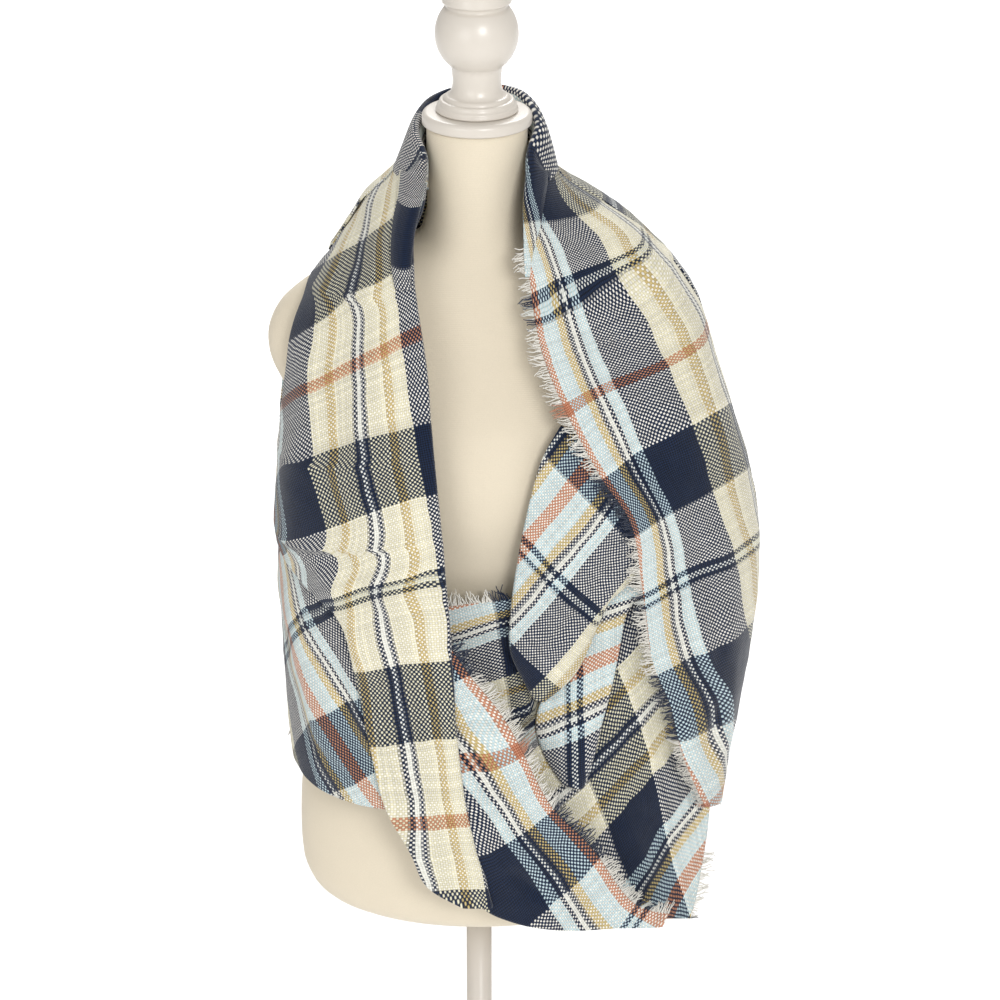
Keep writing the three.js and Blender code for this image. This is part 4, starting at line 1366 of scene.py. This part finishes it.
# The stretches behind: form, sections, creases, ridges, and the turns between which each lies
BEHIND = {
    "left_shoulder": (around_grid, SHOULDER, SIDE_CREASES, None, -SIDE_TURN, -BACK_TURN),
    "left_back": (around_grid, LEFT_BACK, SIDE_CREASES, SIDE_RIDGES, -SIDE_TURN, -BACK_TURN),
    "right_back": (around_grid, RIGHT_BACK, SIDE_CREASES, SIDE_RIDGES, SIDE_TURN, BACK_TURN),
    "back_drape": (back_grid, BACK, BACK_CREASES, BACK_RIDGES, -BACK_TURN, BACK_TURN - 360),
}

# Each frayed edge: its stretch, its points, the points two steps inside it, and the seed of its loose ends
FRAYED_EDGES = {
    "left_edge": ("left_turned_edge", np.s_[:, 0], np.s_[:, 2], 31),
    "right_edge": ("right_front", np.s_[38:, 0], np.s_[38:, 2], 32),
    "cradle_top": ("cradle", np.s_[0, :42], np.s_[2, :42], 33),
    "cradle_low": ("cradle", np.s_[98:, -1], np.s_[98:, -3], 34),
    "back_hem": ("back_drape", np.s_[-1], np.s_[-3], 35),
    "left_hem": ("left_back", np.s_[-1], np.s_[-3], 36),
    "right_hem": ("right_back", np.s_[-1], np.s_[-3], 37),
}


def stretch(node, form, sections, creases, *details):
    """A stretch's grid: its form from its sections, then its creases and unevenness."""
    steps, columns, seed, unevenness = MESHES[node]
    return creased(form(sections, *details, steps, columns), creases, seed, unevenness)


def front_stretches():
    """The grid and the places on the cloth of each stretch in front."""
    left = stretch("left_front", front_grid, LEFT_FRONT, LEFT_FRONT_CREASES, LEFT_FRONT_RIDGES)
    low = stretch("left_low_front", front_grid, LEFT_LOW, LEFT_LOW_CREASES, LEFT_LOW_RIDGES)
    turned = stretch("left_turned_edge", front_grid, TURNED_EDGE, TURNED_CREASES, None)
    right = stretch("right_front", front_grid, RIGHT_FRONT, RIGHT_FRONT_CREASES, RIGHT_FRONT_RIDGES)
    right_places = places_by_rows(right, RIGHT_FRONT)
    right_places[..., 1] += RIGHT_SIDE_GAIN * np.clip(share_across(right) - RIGHT_SIDE_SHARE, 0, None)
    cradle = stretch("cradle", cradle_grid, CRADLE, CRADLE_CREASES)
    middle = stretch("middle_pleat", pleat_grid, MIDDLE_PLEAT, PLEAT_CREASES)
    lower = stretch("lower_pleat", pleat_grid, LOWER_PLEAT, None)
    return {
        "left_front": (left, places_by_rows(left, LEFT_FRONT)),
        "left_low_front": (low, places_by_lie(low, LOW_LIE)),
        "left_turned_edge": (turned, places_by_rows(turned, TURNED_EDGE)),
        "right_front": (right, right_places),
        "cradle": (cradle, cradle_places(cradle)),
        "middle_pleat": (middle, places_by_lie(middle, MIDDLE_LIE)),
        "lower_pleat": (lower, places_by_lie(lower, LOWER_LIE)),
    }


def back_stretches():
    """The grid and the places of each stretch behind, and of the roll round the neck."""
    laid = {}
    for node, (form, sections, creases, ridges, start_turn, end_turn) in BEHIND.items():
        grid = stretch(node, form, sections, creases, start_turn, end_turn, ridges)
        turn = np.linspace(start_turn, end_turn, grid.shape[1])
        laid[node] = (grid, back_places(grid, np.where(turn > 0, turn - 360, turn)))
    steps, columns, seed, unevenness = MESHES["neck_roll"]
    roll, places = roll_grid(steps, columns)
    laid["neck_roll"] = (creased(roll, None, seed, unevenness), places)
    return laid


def with_folds(node, grid, places):
    """A stretch with its edges folded back behind it, where it has such edges."""
    if node == "left_front":
        grid, places = folded_under(grid, places, FOLD_RADIUS, FOLD_DEPTH)
    if node in ("left_front", "right_front"):
        grid, places = folded_outside(grid, places)
    return grid, places


def make_scarf():
    """The stretches of the loop, in the order of the loop, then its loose ends."""
    laid = {**front_stretches(), **back_stretches()}
    made = {}
    for node, (grid, places) in laid.items():
        made[node] = cloth_piece(node, *with_folds(node, grid, places), node == SEAM_STRETCH)
    for name, (node, edge, inside, seed) in FRAYED_EDGES.items():
        grid, places = laid[node]
        made[name] = fringe_piece(name, grid[edge], grid[inside], places[edge], seed, node == SEAM_STRETCH)
    return made


# The studio, in metres: half the floor's width, its sky light, and each light's place, target, size and watts
FLOOR_REACH = 14
SKY_COLOUR = (1.0, 0.99, 0.975, 1)
SKY_STRENGTH = 0.56
LIGHTS = {
    "key": ((1.0, -3.2, 2.7), (0, 0, 1.05), 1.2, 66),
    "fill": ((-1.7, -2.7, 1.9), (0, 0, 1.05), 1.8, 20),
    "behind": ((0.4, 5.5, 5.0), (0, 5.0, 0), 5.0, 420),
}

# The camera, matched to the photograph: place in metres, tilt in degrees, sensor and lens in millimetres
CAMERA_PLACE = (0.020, -3.0, 2.326)
CAMERA_TILT = 66.5
CAMERA_SENSOR = 36
CAMERA_LENS = 129.8
CAMERA_REACH = 100


def make_stage():
    """A pale floor that runs far behind the object."""
    mesh = bpy.data.meshes.new("floor")
    near = -FLOOR_REACH
    far = 3 * FLOOR_REACH
    corners = [(-FLOOR_REACH, near, 0), (FLOOR_REACH, near, 0), (FLOOR_REACH, far, 0), (-FLOOR_REACH, far, 0)]
    mesh.from_pydata(corners, [], [(0, 1, 2, 3)])
    floor = bpy.data.objects.new("floor", mesh)
    bpy.context.scene.collection.objects.link(floor)
    mesh.materials.append(floor_material())


def make_light(name, place, target, size, watts):
    data = bpy.data.lights.new(name, "AREA")
    data.shape = "DISK"
    data.size = size
    data.energy = watts
    light = bpy.data.objects.new(name, data)
    bpy.context.scene.collection.objects.link(light)
    light.location = place
    aim = np.array(target, float) - np.array(place, float)
    light.rotation_euler = Vector(aim).to_track_quat("-Z", "Y").to_euler()


def make_lights():
    world = bpy.data.worlds.new("studio")
    world.use_nodes = True
    background = world.node_tree.nodes["Background"]
    background.inputs[0].default_value = SKY_COLOUR
    background.inputs[1].default_value = SKY_STRENGTH
    bpy.context.scene.world = world
    for name, details in LIGHTS.items():
        make_light(name, *details)


def make_camera():
    """The photograph's place: three metres in front, above the form, looking down at it."""
    data = bpy.data.cameras.new("camera")
    data.sensor_width = CAMERA_SENSOR
    data.lens = CAMERA_LENS
    data.clip_end = CAMERA_REACH
    camera = bpy.data.objects.new("camera", data)
    bpy.context.scene.collection.objects.link(camera)
    camera.location = CAMERA_PLACE
    camera.rotation_euler = (math.radians(CAMERA_TILT), 0, 0)
    bpy.context.scene.camera = camera


make_torso()
make_disc()
make_finial()
make_pole()
make_base()
scarf = make_scarf()
make_stage()
make_lights()
make_camera()
bpy.context.scene.view_settings.view_transform = "Standard"
